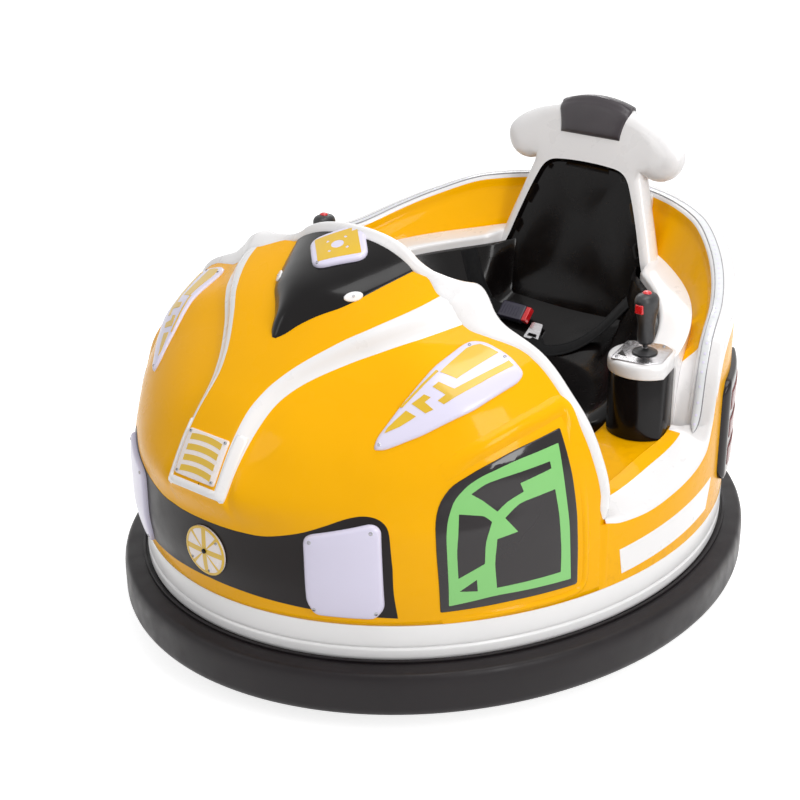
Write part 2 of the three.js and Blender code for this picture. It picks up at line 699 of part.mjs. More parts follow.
function shoulderLamp() {
  const corners = [[-150, -13, 9], [20, -63], [138, -70], [143, -12, 20], [110, 50, 16], [20, 41], [-66, 21]];
  const shape = roundedOutline(corners, 13);
  const tip = onSide(31.9, 547);
  const heel = onSide(55.5, 657);
  const centre = tip.clone().lerp(heel, 0.5);
  const z = new THREE.Vector3(0.52, -0.42, 0.74).normalize();
  const x = heel.clone().sub(tip).projectOnPlane(z).normalize();
  const y = z.clone().cross(x);
  const geometry = prism(shape, -40, 40);
  geometry.applyMatrix4(new THREE.Matrix4().makeBasis(x, y, z).setPosition(centre));
  return geometryFrom(largest(solidOf(geometry).intersect(hoodSkin(PLATE_LIFT, 8))));
}

function sideWindow() {
  const corners = [[-127, -110], [-138, 30], [-135, 114, 46], [-20, 166], [104, 197], [134, 30], [135, -104]];
  const shape = roundedOutline(corners, 7);
  const degrees = 54.9;
  const centre = onSide(degrees, 345);
  const outward = new THREE.Vector3(centre.x / WALL_HALF_WIDTH ** 2, centre.y / WALL_HALF_LENGTH ** 2, 0);
  return onHood(shape, centre, outward, PLATE_LIFT, 4);
}

function cowlLamp() {
  const half = 48;
  const shape = roundedOutline([[-half, -half], [-half, half], [half, half], [half, -half]], 26);
  const geometry = prism(shape, 680, 880).rotateZ(Math.PI / 4).translate(0, spineY(COWL_LAMP_AT), 0);
  const skin = cowlVolume(7).subtract(cowlVolume(0.5));
  return geometryFrom(largest(solidOf(geometry).intersect(skin)));
}

// Tail lamp: long dark lens on the outside of the cockpit wall
const TAIL_FRONT_DEGREES = 110;
const TAIL_BACK_DEGREES = 131;

function tailLamp() {
  return sweepRings(steps(TAIL_FRONT_DEGREES, TAIL_BACK_DEGREES, 8).map((a, i) => {
    const taper = i === 0 || i === 8 ? 22 : 0;
    const [low, high] = [262 + taper, 478 - taper];
    return [[-0.4, low], [-9, low + 14], [-14, low + 40], [-14, high - 40], [-9, high - 14], [-0.4, high]]
      .map(([d, z]) => planInset(d, a, z));
  }), false);
}

// ---- Cockpit ------------------------------------------------------------------------------------
const OPENING_DEGREES = THREE.MathUtils.radToDeg(Math.acos(-DECK_FRONT_Y / (WALL_HALF_LENGTH * INNER_WALL)));

// Plan outline at a share of the wall oval, cut off square across the car in front of a line
function planOutline(share, frontY) {
  const half = THREE.MathUtils.radToDeg(Math.acos(-frontY / (WALL_HALF_LENGTH * share)));
  return outline(stationsFrom(half).map((a) => {
    const p = plan(share, a, 0);
    return [p.x, p.y];
  }));
}

// Raised deck between the seat and the sill, sloping down towards the footwell
function sideDeck(side) {
  const start = OPENING_DEGREES + 0.3;
  const stations = [start, ...WALL_STATIONS.filter((a) => a > start + 0.2 && a < LEDGE_FRONT_DEGREES + 2)];
  return sweepRings(stations.map((a) => {
    const top = Math.max(innerWallZ(Math.min(a, SILL_END_DEGREES - 1)) - 3, DECK_Z + 1);
    const low = DECK_Z - 2;
    const inner = SIDE_DECK_INNER;
    return [plan(INNER_WALL - EDGE_SHARE, a, low), plan(INNER_WALL - EDGE_SHARE, a, top),
      plan(inner + 0.03, a, top), plan(inner, a, Math.min(top, DECK_Z + 6)), plan(inner, a, low)]
      .map((p) => p.setX(p.x * side));
  }), false);
}

function cockpitTub() {
  const edge = INNER_WALL - EDGE_SHARE;
  const deck = solidOf(prism(planOutline(edge, DECK_FRONT_Y), DECK_Z - DECK_THICKNESS, DECK_Z));
  const floorOval = outline(steps(0, 360, 48).slice(0, -1).map((a) => {
    const p = planInset(SKIRT_THICKNESS + 8, a, 0);
    return [p.x, p.y];
  }));
  const floorDisc = solidOf(prism(floorOval, FLOOR_Z - FLOOR_THICKNESS, FLOOR_Z));
  const behind = solidOf(box(-WALL_HALF_WIDTH, WALL_HALF_WIDTH, DECK_FRONT_Y + 8, WALL_HALF_LENGTH, 0, DECK_Z));
  const bulkheadReach = plan(edge, OPENING_DEGREES, 0).x - 4;
  const bulkhead = solidOf(box(-bulkheadReach, bulkheadReach, DECK_FRONT_Y, DECK_FRONT_Y + 8,
    FLOOR_Z - FLOOR_THICKNESS, DECK_Z));
  const ledge = solidOf(sweepRings(stationsFrom(LEDGE_FRONT_DEGREES).map((a) => {
    const z = ledgeZ(a);
    return [plan(edge, a, DECK_Z - 2), plan(edge, a, z), plan(LEDGE_INNER, a, z - 4),
      plan(LEDGE_INNER, a, DECK_Z - 2)];
  }), false));
  const sideDecks = [-1, 1].map((side) => solidOf(sideDeck(side)));
  return geometryFrom(joined([deck, floorDisc.subtract(behind), bulkhead, ledge, ...sideDecks]));
}

// Moulded black seat: a pan with bolsters that climb to the armrest ledge all round the back
function seatBase() {
  const outer = LEDGE_INNER - EDGE_SHARE;
  const foot = DECK_Z + FIT;
  const bolster = solidOf(sweepRings(stationsFrom(BOLSTER_FRONT_DEGREES).map((a) => {
    const top = ledgeZ(a) + 1;
    return [plan(outer, a, foot), plan(outer, a, top), plan(outer - 0.03, a, top), plan(outer - 0.1, a, 450),
      plan(outer - 0.17, a, 402), plan(outer - 0.24, a, foot + PAN_THICKNESS), plan(outer - 0.24, a, foot)];
  }), false));
  const pan = solidOf(prism(planOutline(PAN_SHARE, PAN_FRONT_Y), foot, foot + PAN_THICKNESS));
  return bolster.add(pan);
}

// Place on the leaning back rest: across, up along it, and forward of its middle plane
function onBack(geometry) {
  return geometry.rotateX(Math.PI / 2).rotateX(-rad(BACK_LEAN_DEGREES)).translate(0, BACK_FOOT_Y, 400);
}

function seatBackOutline() {
  const shape = new THREE.Shape();
  shape.moveTo(-262, 10);
  shape.bezierCurveTo(-240, 110, -214, 160, -198, 212);
  shape.bezierCurveTo(-182, 262, -160, 320, -143, 372);
  shape.bezierCurveTo(-190, 356, -229, 384, -229, 424);
  shape.bezierCurveTo(-229, 470, -160, 492, -92, 500);
  shape.quadraticCurveTo(0, 544, 92, 500);
  shape.bezierCurveTo(160, 492, 229, 470, 229, 424);
  shape.bezierCurveTo(229, 384, 190, 356, 143, 372);
  shape.bezierCurveTo(160, 320, 182, 262, 198, 212);
  shape.bezierCurveTo(214, 160, 240, 110, 262, 10);
  shape.closePath();
  return shape;
}

// Leaning rest with a web behind it that reaches back to the cockpit wall
function seatBack() {
  const rest = solidOf(onBack(prism(seatBackOutline(), -BACK_THICKNESS / 2, BACK_THICKNESS / 2, 6)));
  const [front, rear] = [BACK_FOOT_Y + 18, WALL_HALF_LENGTH - 20];
  const web = outline([[-150, front], [-120, rear], [120, rear], [150, front]]);
  return rest.add(solidOf(prism(web, WEB_LOW, WEB_HIGH)));
}

function headrestPad() {
  const shape = roundedOutline([[-77, 438], [-88, 506], [-40, 521], [40, 521], [88, 506], [77, 438]], 12);
  const face = BACK_THICKNESS / 2;
  return onBack(prism(shape, face + FIT, face + PAD_PROUD, 3));
}

const cockpitParts = (() => {
  const tub = solidOf(cockpitTub());
  const shell = solidOf(rearShell());
  const back = largest(seatBack().subtract(swollen(shell)).subtract(swollen(tub)));
  const base = largest(seatBase().subtract(swollen(back)));
  return { back, base, shell, tub };
})();

function podOutline() {
  const shape = new THREE.Shape();
  const flat = POD_RADIUS - POD_FLAT;
  const half = Math.acos(flat / POD_RADIUS);
  shape.absarc(0, 0, POD_RADIUS, half, 2 * Math.PI - half);
  shape.closePath();
  return shape;
}

const POD_TURN = rad(14); // the flat side of the pod faces the wall
const POD_X = WALL_HALF_WIDTH * INNER_WALL * Math.sqrt(1 - (POD_Y / (WALL_HALF_LENGTH * INNER_WALL)) ** 2)
  - (POD_RADIUS - POD_FLAT) - POD_WALL_GAP;

function joystickPod(side) {
  const foot = DECK_Z + FIT;
  const whole = prism(podOutline(), foot, POD_TOP, 10).rotateZ(POD_TURN).translate(POD_X, POD_Y, 0);
  const body = solidOf(side > 0 ? whole : mirrored(whole));
  const { base, shell, tub } = cockpitParts;
  return geometryFrom(largest(body.subtract(swollen(tub)).subtract(swollen(base)).subtract(swollen(shell))));
}

function joystickPlate() {
  const shape = roundedOutline([[-44, -40], [-44, 40], [32, 40], [32, -40]], 5);
  const z = POD_TOP + FIT;
  return prism(shape, z, z + 3, 3).rotateZ(POD_TURN).translate(POD_X, POD_Y, 0);
}

const STICK_FOOT = POD_TOP + FIT + 3 + FIT;
const STICK_HEIGHT = 122;

function joystick() {
  const profile = [[0, 0], [24, 0], [24, 3], [14, 7], [5, 9], [5, 18], [14, 19], [16, 40], [15, 78],
    [18, 92], [18, 110], [14, 119], [0, STICK_HEIGHT]];
  return turnedAboutZ(profile, 16).translate(POD_X, POD_Y, STICK_FOOT);
}

function joystickTrigger() {
  const block = solidOf(box(-9, 9, -26, -10, 0, 22).translate(POD_X, POD_Y, STICK_FOOT + 84));
  return geometryFrom(largest(block.subtract(solidOf(joystick().translate(0, -FIT, 0)))));
}

// Belt pieces lie on the slope at the foot of the back rest
const BELT_SLOPE_DEGREES = 46;
const BUCKLE_X = -95;
const BUCKLE_SHARE = 0.633; // share of the wall oval at which it lies
const TONGUE_X = -34;
const TONGUE_SHARE = 0.581;

const onSeatY = (x, share) => WALL_HALF_LENGTH * Math.sqrt(share ** 2 - (x / WALL_HALF_WIDTH) ** 2);

function onSlope(geometry, x, y, z) {
  const laid = geometry.rotateX(rad(BELT_SLOPE_DEGREES)).translate(x, y, z);
  return geometryFrom(largest(solidOf(laid).subtract(cockpitParts.base.translate([0, 0, FIT]))));
}

function seatBeltBuckle() {
  const shape = roundedOutline([[-39, -21], [-39, 21], [39, 21], [39, -21]], 5);
  return onSlope(prism(shape, -6, 20, 3), BUCKLE_X, onSeatY(BUCKLE_X, BUCKLE_SHARE), 432);
}

function seatBeltTongue() {
  const shape = roundedOutline([[-20, -22], [-14, 18], [14, 18], [20, -22]], 4);
  return onSlope(prism(shape, -3, 3, 3), TONGUE_X, onSeatY(TONGUE_X, TONGUE_SHARE), 404);
}

// ---- Running gear -------------------------------------------------------------------------------
const FRAME_LOW = FRAME_TOP - FRAME_DEPTH;
const RAIL_X = 220;
const RAIL_WIDTH = 40;
const RAIL_HALF_LENGTH = WALL_HALF_LENGTH - 91;

const RING_LOW = BUMPER_TOP - 47;
const RING_HIGH = BUMPER_TOP - 0.5;

function frameRing() {
  const section = [[SKIRT_THICKNESS + FIT, RING_LOW], [SKIRT_THICKNESS + FIT, RING_HIGH],
    [SKIRT_THICKNESS + 36, RING_HIGH], [SKIRT_THICKNESS + 36, RING_LOW]];
  return solidOf(sweepRings(FULL_TURN.map((a) => section.map(([d, z]) => planInset(d, a, z))), true));
}

function chassisFrame() {
  const rails = [-1, 1].map((side) => solidOf(box(
    side * RAIL_X - RAIL_WIDTH / 2, side * RAIL_X + RAIL_WIDTH / 2, -RAIL_HALF_LENGTH, RAIL_HALF_LENGTH,
    FRAME_LOW, FRAME_TOP,
  )));
  const crossbars = [CASTER_FRONT_Y, BATTERY_Y, CASTER_REAR_Y].map((y) => solidOf(
    box(-RAIL_X, RAIL_X, y - 30, y + 30, FRAME_LOW, FRAME_TOP),
  ));
  const outriggers = [-1, 1].map((side) => solidOf(
    box(side > 0 ? RAIL_X : -WALL_HALF_WIDTH, side > 0 ? WALL_HALF_WIDTH : -RAIL_X, -160, -120, FRAME_LOW,
      FRAME_TOP - 4),
  ));
  const inside = solidOf(prism(outline(steps(0, 360, 48).slice(0, -1).map((a) => {
    const p = planInset(SKIRT_THICKNESS + 6, a, 0);
    return [p.x, p.y];
  })), 0, 300));
  return joined([...rails, ...crossbars, ...outriggers]).intersect(inside);
}

function batteryBlock() {
  const [x, y] = BATTERY_PLAN;
  const top = DECK_Z - DECK_THICKNESS - BATTERY_ROOM;
  return box(-x / 2, x / 2, BATTERY_Y - y / 2, BATTERY_Y + y / 2, FRAME_TOP + FIT, top);
}

const MOTOR_INNER_X = RAIL_X + RAIL_WIDTH / 2 + FIT;
const MOTOR_OUTER_X = DRIVE_WHEEL_X - DRIVE_TYRE_WIDTH / 2 - 10;

function gearMotor() {
  const body = turnedAboutX([[0, MOTOR_INNER_X + 12], [MOTOR_RADIUS, MOTOR_INNER_X + 12],
    [MOTOR_RADIUS, MOTOR_OUTER_X - 30], [34, MOTOR_OUTER_X - 24], [34, MOTOR_OUTER_X], [0, MOTOR_OUTER_X]], 20);
  body.translate(0, DRIVE_AXLE_Y, DRIVE_WHEEL_RADIUS);
  const flange = box(MOTOR_INNER_X, MOTOR_INNER_X + 14, DRIVE_AXLE_Y - 55, DRIVE_AXLE_Y + 55, 54, 146);
  return geometryFrom(solidOf(body).add(solidOf(flange)));
}

function driveTyre() {
  const [w, r] = [DRIVE_TYRE_WIDTH / 2, DRIVE_WHEEL_RADIUS];
  const profile = [[DRIVE_HUB_RADIUS, -w + 6], [r - 12, -w], [r - 3, -w + 5], [r, -w + 12], [r, w - 12],
    [r - 3, w - 5], [r - 12, w], [DRIVE_HUB_RADIUS, w - 6], [DRIVE_HUB_RADIUS, -w + 6]];
  return turnedAboutX(profile, 24).translate(DRIVE_WHEEL_X, DRIVE_AXLE_Y, DRIVE_WHEEL_RADIUS);
}

function driveHub() {
  const r = DRIVE_HUB_RADIUS - FIT;
  const stub = MOTOR_OUTER_X + PIN_GAP - DRIVE_WHEEL_X;
  const profile = [[0, stub], [12, stub], [12, -19], [r, -19], [r, 19], [44, 19], [40, 8], [22, 8], [20, 22],
    [0, 22]];
  return turnedAboutX(profile, 24).translate(DRIVE_WHEEL_X, DRIVE_AXLE_Y, DRIVE_WHEEL_RADIUS);
}

const FORK_TOP = FRAME_LOW - PIN_GAP;
const FORK_PLATE_Z = 2 * CASTER_RADIUS + 6;

// Swivel fork: a round head with a stub up to the frame and two legs down to the axle
function casterFork(y) {
  const head = solidOf(turnedAboutZ([[0, FORK_PLATE_Z], [30, FORK_PLATE_Z], [30, FORK_PLATE_Z + 8],
    [12, FORK_PLATE_Z + 8], [12, FORK_TOP], [0, FORK_TOP]], 16));
  const legs = [-1, 1].map((side) => {
    const inner = CASTER_WIDTH / 2 + 5;
    const shape = outline([[-18, FORK_PLATE_Z + 2], [20, FORK_PLATE_Z + 2], [CASTER_TRAIL + 10, CASTER_RADIUS],
      [CASTER_TRAIL + 8, CASTER_RADIUS - 9], [CASTER_TRAIL - 8, CASTER_RADIUS - 9]]);
    const leg = prism(shape, 0, 4).applyMatrix4(new THREE.Matrix4().makeBasis(
      new THREE.Vector3(0, 1, 0), new THREE.Vector3(0, 0, 1), new THREE.Vector3(1, 0, 0),
    )).translate(side > 0 ? inner : -inner - 4, 0, 0);
    return solidOf(leg);
  });
  const pin = solidOf(turnedAboutX([[0, -22], [4, -22], [4, 22], [0, 22]], 8)
    .translate(0, CASTER_TRAIL, CASTER_RADIUS));
  return geometryFrom(joined([head, ...legs, pin])).translate(0, y, 0);
}

function casterWheel(y) {
  const [w, r] = [CASTER_WIDTH / 2, CASTER_RADIUS];
  const profile = [[5, -w], [r - 5, -w], [r, -w + 5], [r, w - 5], [r - 5, w], [5, w], [5, -w]];
  return turnedAboutX(profile, 20).translate(0, y + CASTER_TRAIL, r);
}

// ---- Assembly -----------------------------------------------------------------------------------
place('bumper_ring', bumperRing(), paint.rubber);
place('base_skirt', baseSkirt(), paint.white);
place('front_hood', frontHood, paint.yellow);
place('rear_shell', rearShell(), paint.yellow);
place('rim_light_strip', rimLightStrip(), paint.lens);
place('hood_rim', hoodRim(), paint.white);
place('dash_cowl', geometryFrom(cowlBody), paint.black);
place('cowl_lamp', cowlLamp(), paint.lens);
placePair('headlight', headlight(), paint.lens);
place('round_front_lamp', roundFrontLamp(), paint.yellow);
place('front_light_plate', frontLightPlate(), paint.lens);
placePair('shoulder_lamp', shoulderLamp(), paint.lens);
placePair('side_window', sideWindow(), paint.black);
placePair('tail_lamp', tailLamp(), paint.black);
place('cockpit_tub', geometryFrom(cockpitParts.tub), paint.yellow);
place('seat_base', geometryFrom(cockpitParts.base), paint.black);
place('seat_back', geometryFrom(cockpitParts.back), paint.white);
place('headrest_pad', headrestPad(), paint.black);
place('joystick_pod_left', joystickPod(1), paint.black);
place('joystick_pod_right', joystickPod(-1), paint.black);
placePair('joystick_plate', joystickPlate(), paint.steel);
placePair('joystick', joystick(), paint.black);
placePair('joystick_trigger', joystickTrigger(), paint.red);
place('seat_belt_buckle', seatBeltBuckle(), paint.black);
place('seat_belt_tongue', seatBeltTongue(), paint.steel);
place('frame_ring', geometryFrom(largest(frameRing().subtract(swollen(chassisFrame())))), paint.grey);
place('chassis_frame', geometryFrom(chassisFrame()), paint.grey);
place('battery_block', batteryBlock(), paint.black);
placePair('gear_motor', gearMotor(), paint.grey);
placePair('drive_tyre', driveTyre(), paint.rubber);
placePair('drive_hub', driveHub(), paint.grey);
place('caster_fork_front', casterFork(CASTER_FRONT_Y), paint.steel);
place('caster_fork_rear', casterFork(CASTER_REAR_Y), paint.steel);
place('caster_wheel_front', casterWheel(CASTER_FRONT_Y), paint.rubber);
place('caster_wheel_rear', casterWheel(CASTER_REAR_Y), paint.rubber);

export default group;
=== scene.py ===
"""Looks of the oval bumper car: shells, lamps, seat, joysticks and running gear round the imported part.

Shapes are worked out in millimetres in the part's own frame (+Z up, nose along -Y, driver's left along +X)
and turned into metres when a mesh is made.
"""
import math

import bmesh
import bpy
from mathutils import Matrix, Vector, geometry
from mathutils.bvhtree import BVHTree


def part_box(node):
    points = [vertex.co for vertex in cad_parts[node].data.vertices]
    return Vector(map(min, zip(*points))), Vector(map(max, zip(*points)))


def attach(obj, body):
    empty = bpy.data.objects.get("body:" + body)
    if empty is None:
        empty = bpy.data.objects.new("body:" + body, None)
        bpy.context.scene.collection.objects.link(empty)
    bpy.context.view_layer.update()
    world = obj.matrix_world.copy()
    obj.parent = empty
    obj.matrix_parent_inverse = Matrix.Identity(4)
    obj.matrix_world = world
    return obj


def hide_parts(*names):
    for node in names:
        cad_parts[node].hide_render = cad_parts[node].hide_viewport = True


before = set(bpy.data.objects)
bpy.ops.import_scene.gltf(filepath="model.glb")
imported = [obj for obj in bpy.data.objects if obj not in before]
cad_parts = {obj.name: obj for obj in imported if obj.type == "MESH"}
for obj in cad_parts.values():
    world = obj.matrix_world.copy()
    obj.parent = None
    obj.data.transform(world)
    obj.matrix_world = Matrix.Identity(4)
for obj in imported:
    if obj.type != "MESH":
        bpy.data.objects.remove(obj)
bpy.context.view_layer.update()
MM = 0.001

# ---- Driving dimensions, as in the part -----------------------------------------------------------
WALL_HALF_LENGTH = 651
WALL_HALF_WIDTH = 563
BUMPER_REACH = 49
BUMPER_DEPTH = 72
BUMPER_BOTTOM = 50
BUMPER_TOP = 139
SKIRT_TOP = 210
HOOD_BASE = 210.3
NOSE_Y = -(WALL_HALF_LENGTH + 38)
ARCH_TOP_Y = -250
ARCH_FOOT_Y = -195
RIM_WIDTH = 50
INNER_WALL = 0.857
LEDGE_INNER = 0.745
DECK_Z = 352
DECK_FRONT_Y = -150
SIDE_DECK_Z = 397
FLOOR_Z = 150
PAN_FRONT_Y = -60
PAN_SHARE = 0.56
LEDGE_FRONT_DEGREES = 105.1
BACK_FOOT_Y = WALL_HALF_LENGTH - 199
BACK_LEAN_DEGREES = 12
BACK_THICKNESS = 50
POD_Y = 108
POD_RADIUS = 69
POD_TOP = 548
POD_TURN_DEGREES = 14
STICK_HEIGHT = 122

# ---- Values that several pieces share -------------------------------------------------------------
# Share of the wall oval left open round the pieces inside the wall
CLEARANCE = 0.0007
OUTER_INSIDE = INNER_WALL - CLEARANCE
UPRIGHT = Matrix.Rotation(math.radians(90), 4, "X")
# Most of a side that one rounded corner may take
CORNER_SHARE = 0.48
# How far above a place the rays start that look for the skin under it
RAY_START = 160
WELD = 0.01


# ---- Small maths ----------------------------------------------------------------------------------
def through(knots, at):
    """Smooth curve through (position, value) pairs that never overshoots between two of them."""
    last = len(knots) - 1
    if at <= knots[0][0]:
        return knots[0][1]
    if at >= knots[last][0]:
        return knots[last][1]
    slopes = [(b[1] - a[1]) / (b[0] - a[0]) for a, b in zip(knots, knots[1:])]

    def tangent(i):
        if i in (0, last):
            return slopes[min(i, last - 1)]
        before, after = slopes[i - 1], slopes[i]
        return 0 if before * after <= 0 else 2 * before * after / (before + after)

    i = 0
    while at > knots[i + 1][0]:
        i += 1
    span = knots[i + 1][0] - knots[i][0]
    t = (at - knots[i][0]) / span
    a, b = knots[i][1], knots[i + 1][1]
    ends = a * (1 + 2 * t) * (1 - t) ** 2 + b * t * t * (3 - 2 * t)
    return ends + span * (tangent(i) * t * (1 - t) ** 2 - tangent(i + 1) * t * t * (1 - t))


def steps(start, stop, count):
    return [start + (stop - start) * i / count for i in range(count + 1)]


def ease(start, stop, at):
    t = min(1, max(0, (at - start) / (stop - start)))
    return t * t * (3 - 2 * t)


def plan(share, degrees, z):
    """Point on the plan: share of the wall oval, degrees from the nose towards the driver's left."""
    a = math.radians(degrees)
    return Vector((WALL_HALF_WIDTH * share * math.sin(a), -WALL_HALF_LENGTH * share * math.cos(a), z))


def plan_inset(inset, degrees, z):
    a = math.radians(degrees)
    return Vector(((WALL_HALF_WIDTH - inset) * math.sin(a), -(WALL_HALF_LENGTH - inset) * math.cos(a), z))


def rounded(corners, radius, segments=4, closed=True):
    """Polyline with rounded corners. A corner's third value is its own radius, and 0 keeps it sharp."""
    out = []
    count = len(corners)
    for i, corner in enumerate(corners):
        at = Vector(corner[:2])
        size = corner[2] if len(corner) > 2 else radius
        if size == 0 or (not closed and i in (0, count - 1)):
            out.append(at)
            continue
        before = Vector(corners[i - 1][:2]) - at
        after = Vector(corners[(i + 1) % count][:2]) - at
        enter = at + before.normalized() * min(size, before.length * CORNER_SHARE)
        leave = at + after.normalized() * min(size, after.length * CORNER_SHARE)
        for t in steps(0, 1, segments):
            out.append(enter * (1 - t) ** 2 + at * 2 * t * (1 - t) + leave * t * t)
    return out


def spline(points, per_span=6, closed=True):
    """Smooth curve through 2-D or 3-D points."""
    points = [Vector(p) for p in points]
    count = len(points)
    out = []
    for i in range(count if closed else count - 1):
        a, b = points[i], points[(i + 1) % count]
        before = points[i - 1] if closed or i else a * 2 - b
        after = points[(i + 2) % count] if closed or i + 2 < count else b * 2 - a
        for k in range(per_span):
            t = k / per_span
            out.append(0.5 * (2 * a + (b - before) * t + (2 * before - 5 * a + 4 * b - after) * t * t
                              + (3 * a - before - 3 * b + after) * t ** 3))
    return out if closed else out + [points[-1]]


def circle(radius, count=48):
    turn = [math.tau * i / count for i in range(count)]
    return [Vector((radius * math.cos(a), radius * math.sin(a))) for a in turn]


def mirrored_outline(right):
    """Whole outline from its right half."""
    return right + [Vector((-p.x, p.y)) for p in reversed(right) if abs(p.x) > 1e-6]


def oblong(left, low, right, high, radius, segments):
    """Rectangle with rounded corners."""
    return rounded([(left, low), (left, high), (right, high), (right, low)], radius, segments)


def heading(path, i, reach=1):
    """Direction of a path at one of its points."""
    return (path[min(i + reach, len(path) - 1)] - path[max(i - reach, 0)]).normalized()


def box_mm(node):
    """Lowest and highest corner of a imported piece."""
    return [Vector(v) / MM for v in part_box(node)]


# ---- Meshes ---------------------------------------------------------------------------------------
class Shape:
    """Vertices in millimetres, faces and the slot of each face."""

    def __init__(self):
        self.points, self.faces, self.slots = [], [], []

    def add(self, points, faces, slots=0):
        start = len(self.points)
        self.points += [Vector(p) for p in points]
        self.faces += [tuple(start + i for i in face) for face in faces]
        self.slots += list(slots) if isinstance(slots, (list, tuple)) else [slots] * len(faces)
        return self

    def join(self, other, matrix=None):
        points = [matrix @ p for p in other.points] if matrix else other.points
        return self.add(points, other.faces, other.slots)

    def moved(self, matrix):
        return Shape().join(self, matrix)

    def mirrored(self):
        points = [Vector((-p.x, p.y, p.z)) for p in self.points]
        return Shape().add(points, [face[::-1] for face in self.faces], self.slots)


def piece(name, shape, materials, stands_for=None, body="chassis", slot=None, crease=40):
    """Object made from a Shape; edges sharper than crease degrees stay sharp."""
    mesh = bpy.data.meshes.new(name)
    mesh.from_pydata([p * MM for p in shape.points], [], shape.faces)
    mesh.polygons.foreach_set("material_index", shape.slots)
    bm = bmesh.new()
    bm.from_mesh(mesh)
    bmesh.ops.remove_doubles(bm, verts=bm.verts, dist=WELD * MM)
    bmesh.ops.recalc_face_normals(bm, faces=bm.faces)
    for face in bm.faces:
        face.smooth = True
    for edge in bm.edges:
        if len(edge.link_faces) == 2 and edge.calc_face_angle(0) > math.radians(crease):
            edge.smooth = False
    bm.to_mesh(mesh)
    bm.free()
    obj = bpy.data.objects.new(name, mesh)
    bpy.context.scene.collection.objects.link(obj)
    finishes = materials if isinstance(materials, list) else [materials]
    for finish in finishes:
        mesh.materials.append(finish)
    if stands_for:
        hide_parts(stands_for)
    slot or SLOTS[finishes[0].name]
    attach(obj, body)
    return obj


def sweep(rings, closed=False, open_rings=False, caps=True, paint=None):
    """Shape through rings of points that all have the same count; paint(i, j) gives a face's slot."""
    count = len(rings[0])
    faces, slots = [], []
    for i in range(len(rings) if closed else len(rings) - 1):
        a, b = i * count, (i + 1) % len(rings) * count
        for j in range(count - 1 if open_rings else count):
            k = (j + 1) % count
            faces.append((a + j, b + j, b + k, a + k))
            slots.append(paint(i, j) if paint else 0)
    if caps and not closed and not open_rings:
        last = (len(rings) - 1) * count
        faces += [tuple(range(count)), tuple(last + j for j in reversed(range(count)))]
        slots += [paint(0, 0) if paint else 0, paint(len(rings) - 2, 0) if paint else 0]
    return Shape().add([p for ring in rings for p in ring], faces, slots)


def turned(profile, count):
    """Solid of revolution about Z from (radius, height) pairs that start and end on the axis."""
    rings = []
    for i in range(count):
        a = math.tau * i / count
        rings.append([Vector((r * math.cos(a), r * math.sin(a), height)) for r, height in profile])
    return sweep(rings, closed=True, open_rings=True)


def prism(outline, low, high, roll=1.5, segments=3):
    """Extruded outline with its top edge rolled over; drawn about its own middle, in the XY plane."""
    normals = outline_normals(outline)
    rings = [[Vector((*p, low)) for p in outline]]
    for t in steps(0, 1, segments):
        a = t * math.pi / 2
        inset, z = roll * (1 - math.cos(a)), high - roll + roll * math.sin(a)
        rings.append([Vector((*(p - n * inset), z)) for p, n in zip(outline, normals)])
    return sweep(rings)


def outline_normals(outline):
    """Outward unit normals at an outline's points."""
    area = sum(a.x * b.y - a.y * b.x for a, b in zip(outline, outline[1:] + outline[:1]))
    sign = 1 if area > 0 else -1
    out = []
    for i, p in enumerate(outline):
        ahead = outline[(i + 1) % len(outline)] - p
        behind = p - outline[i - 1]
        run = (ahead.normalized() if ahead.length > 1e-6 else behind) + (
            behind.normalized() if behind.length > 1e-6 else ahead)
        run.normalize()
        out.append(Vector((run.y, -run.x)) * sign)
    return out


def resampled(outline, spacing):
    """Outline with its long sides divided."""
    out = []
    for a, b in zip(outline, outline[1:] + outline[:1]):
        count = max(1, math.ceil((b - a).length / spacing))
        out += [a + (b - a) * i / count for i in range(count)]
    return out


def inside(p, outline):
    hit = False
    for a, b in zip(outline, outline[1:] + outline[:1]):
        if (a.y > p.y) != (b.y > p.y) and p.x < (b.x - a.x) * (p.y - a.y) / (b.y - a.y) + a.x:
            hit = not hit
    return hit


def edge_distance(p, outline):
    best = 1e9
    for a, b in zip(outline, outline[1:] + outline[:1]):
        run = b - a
        t = min(1, max(0, (p - a).dot(run) / max(run.length_squared, 1e-9)))
        best = min(best, (p - a - run * t).length)
    return best


def joined_loops(loops):
    """Points of closed loops, and the edges between them."""
    points, edges = [], []
    for loop in loops:
        start = len(points)
        points += loop
        edges += [(start + i, start + (i + 1) % len(loop)) for i in range(len(loop))]
    return points, edges


def inset_points(outline, insets):
    """Points at fixed distances inside an outline."""
    normals = outline_normals(outline)
    for inset in insets:
        for p, n in zip(outline, normals):
            q = p - n * inset
            if inside(q, outline) and edge_distance(q, outline) > inset * 0.96:
                yield q


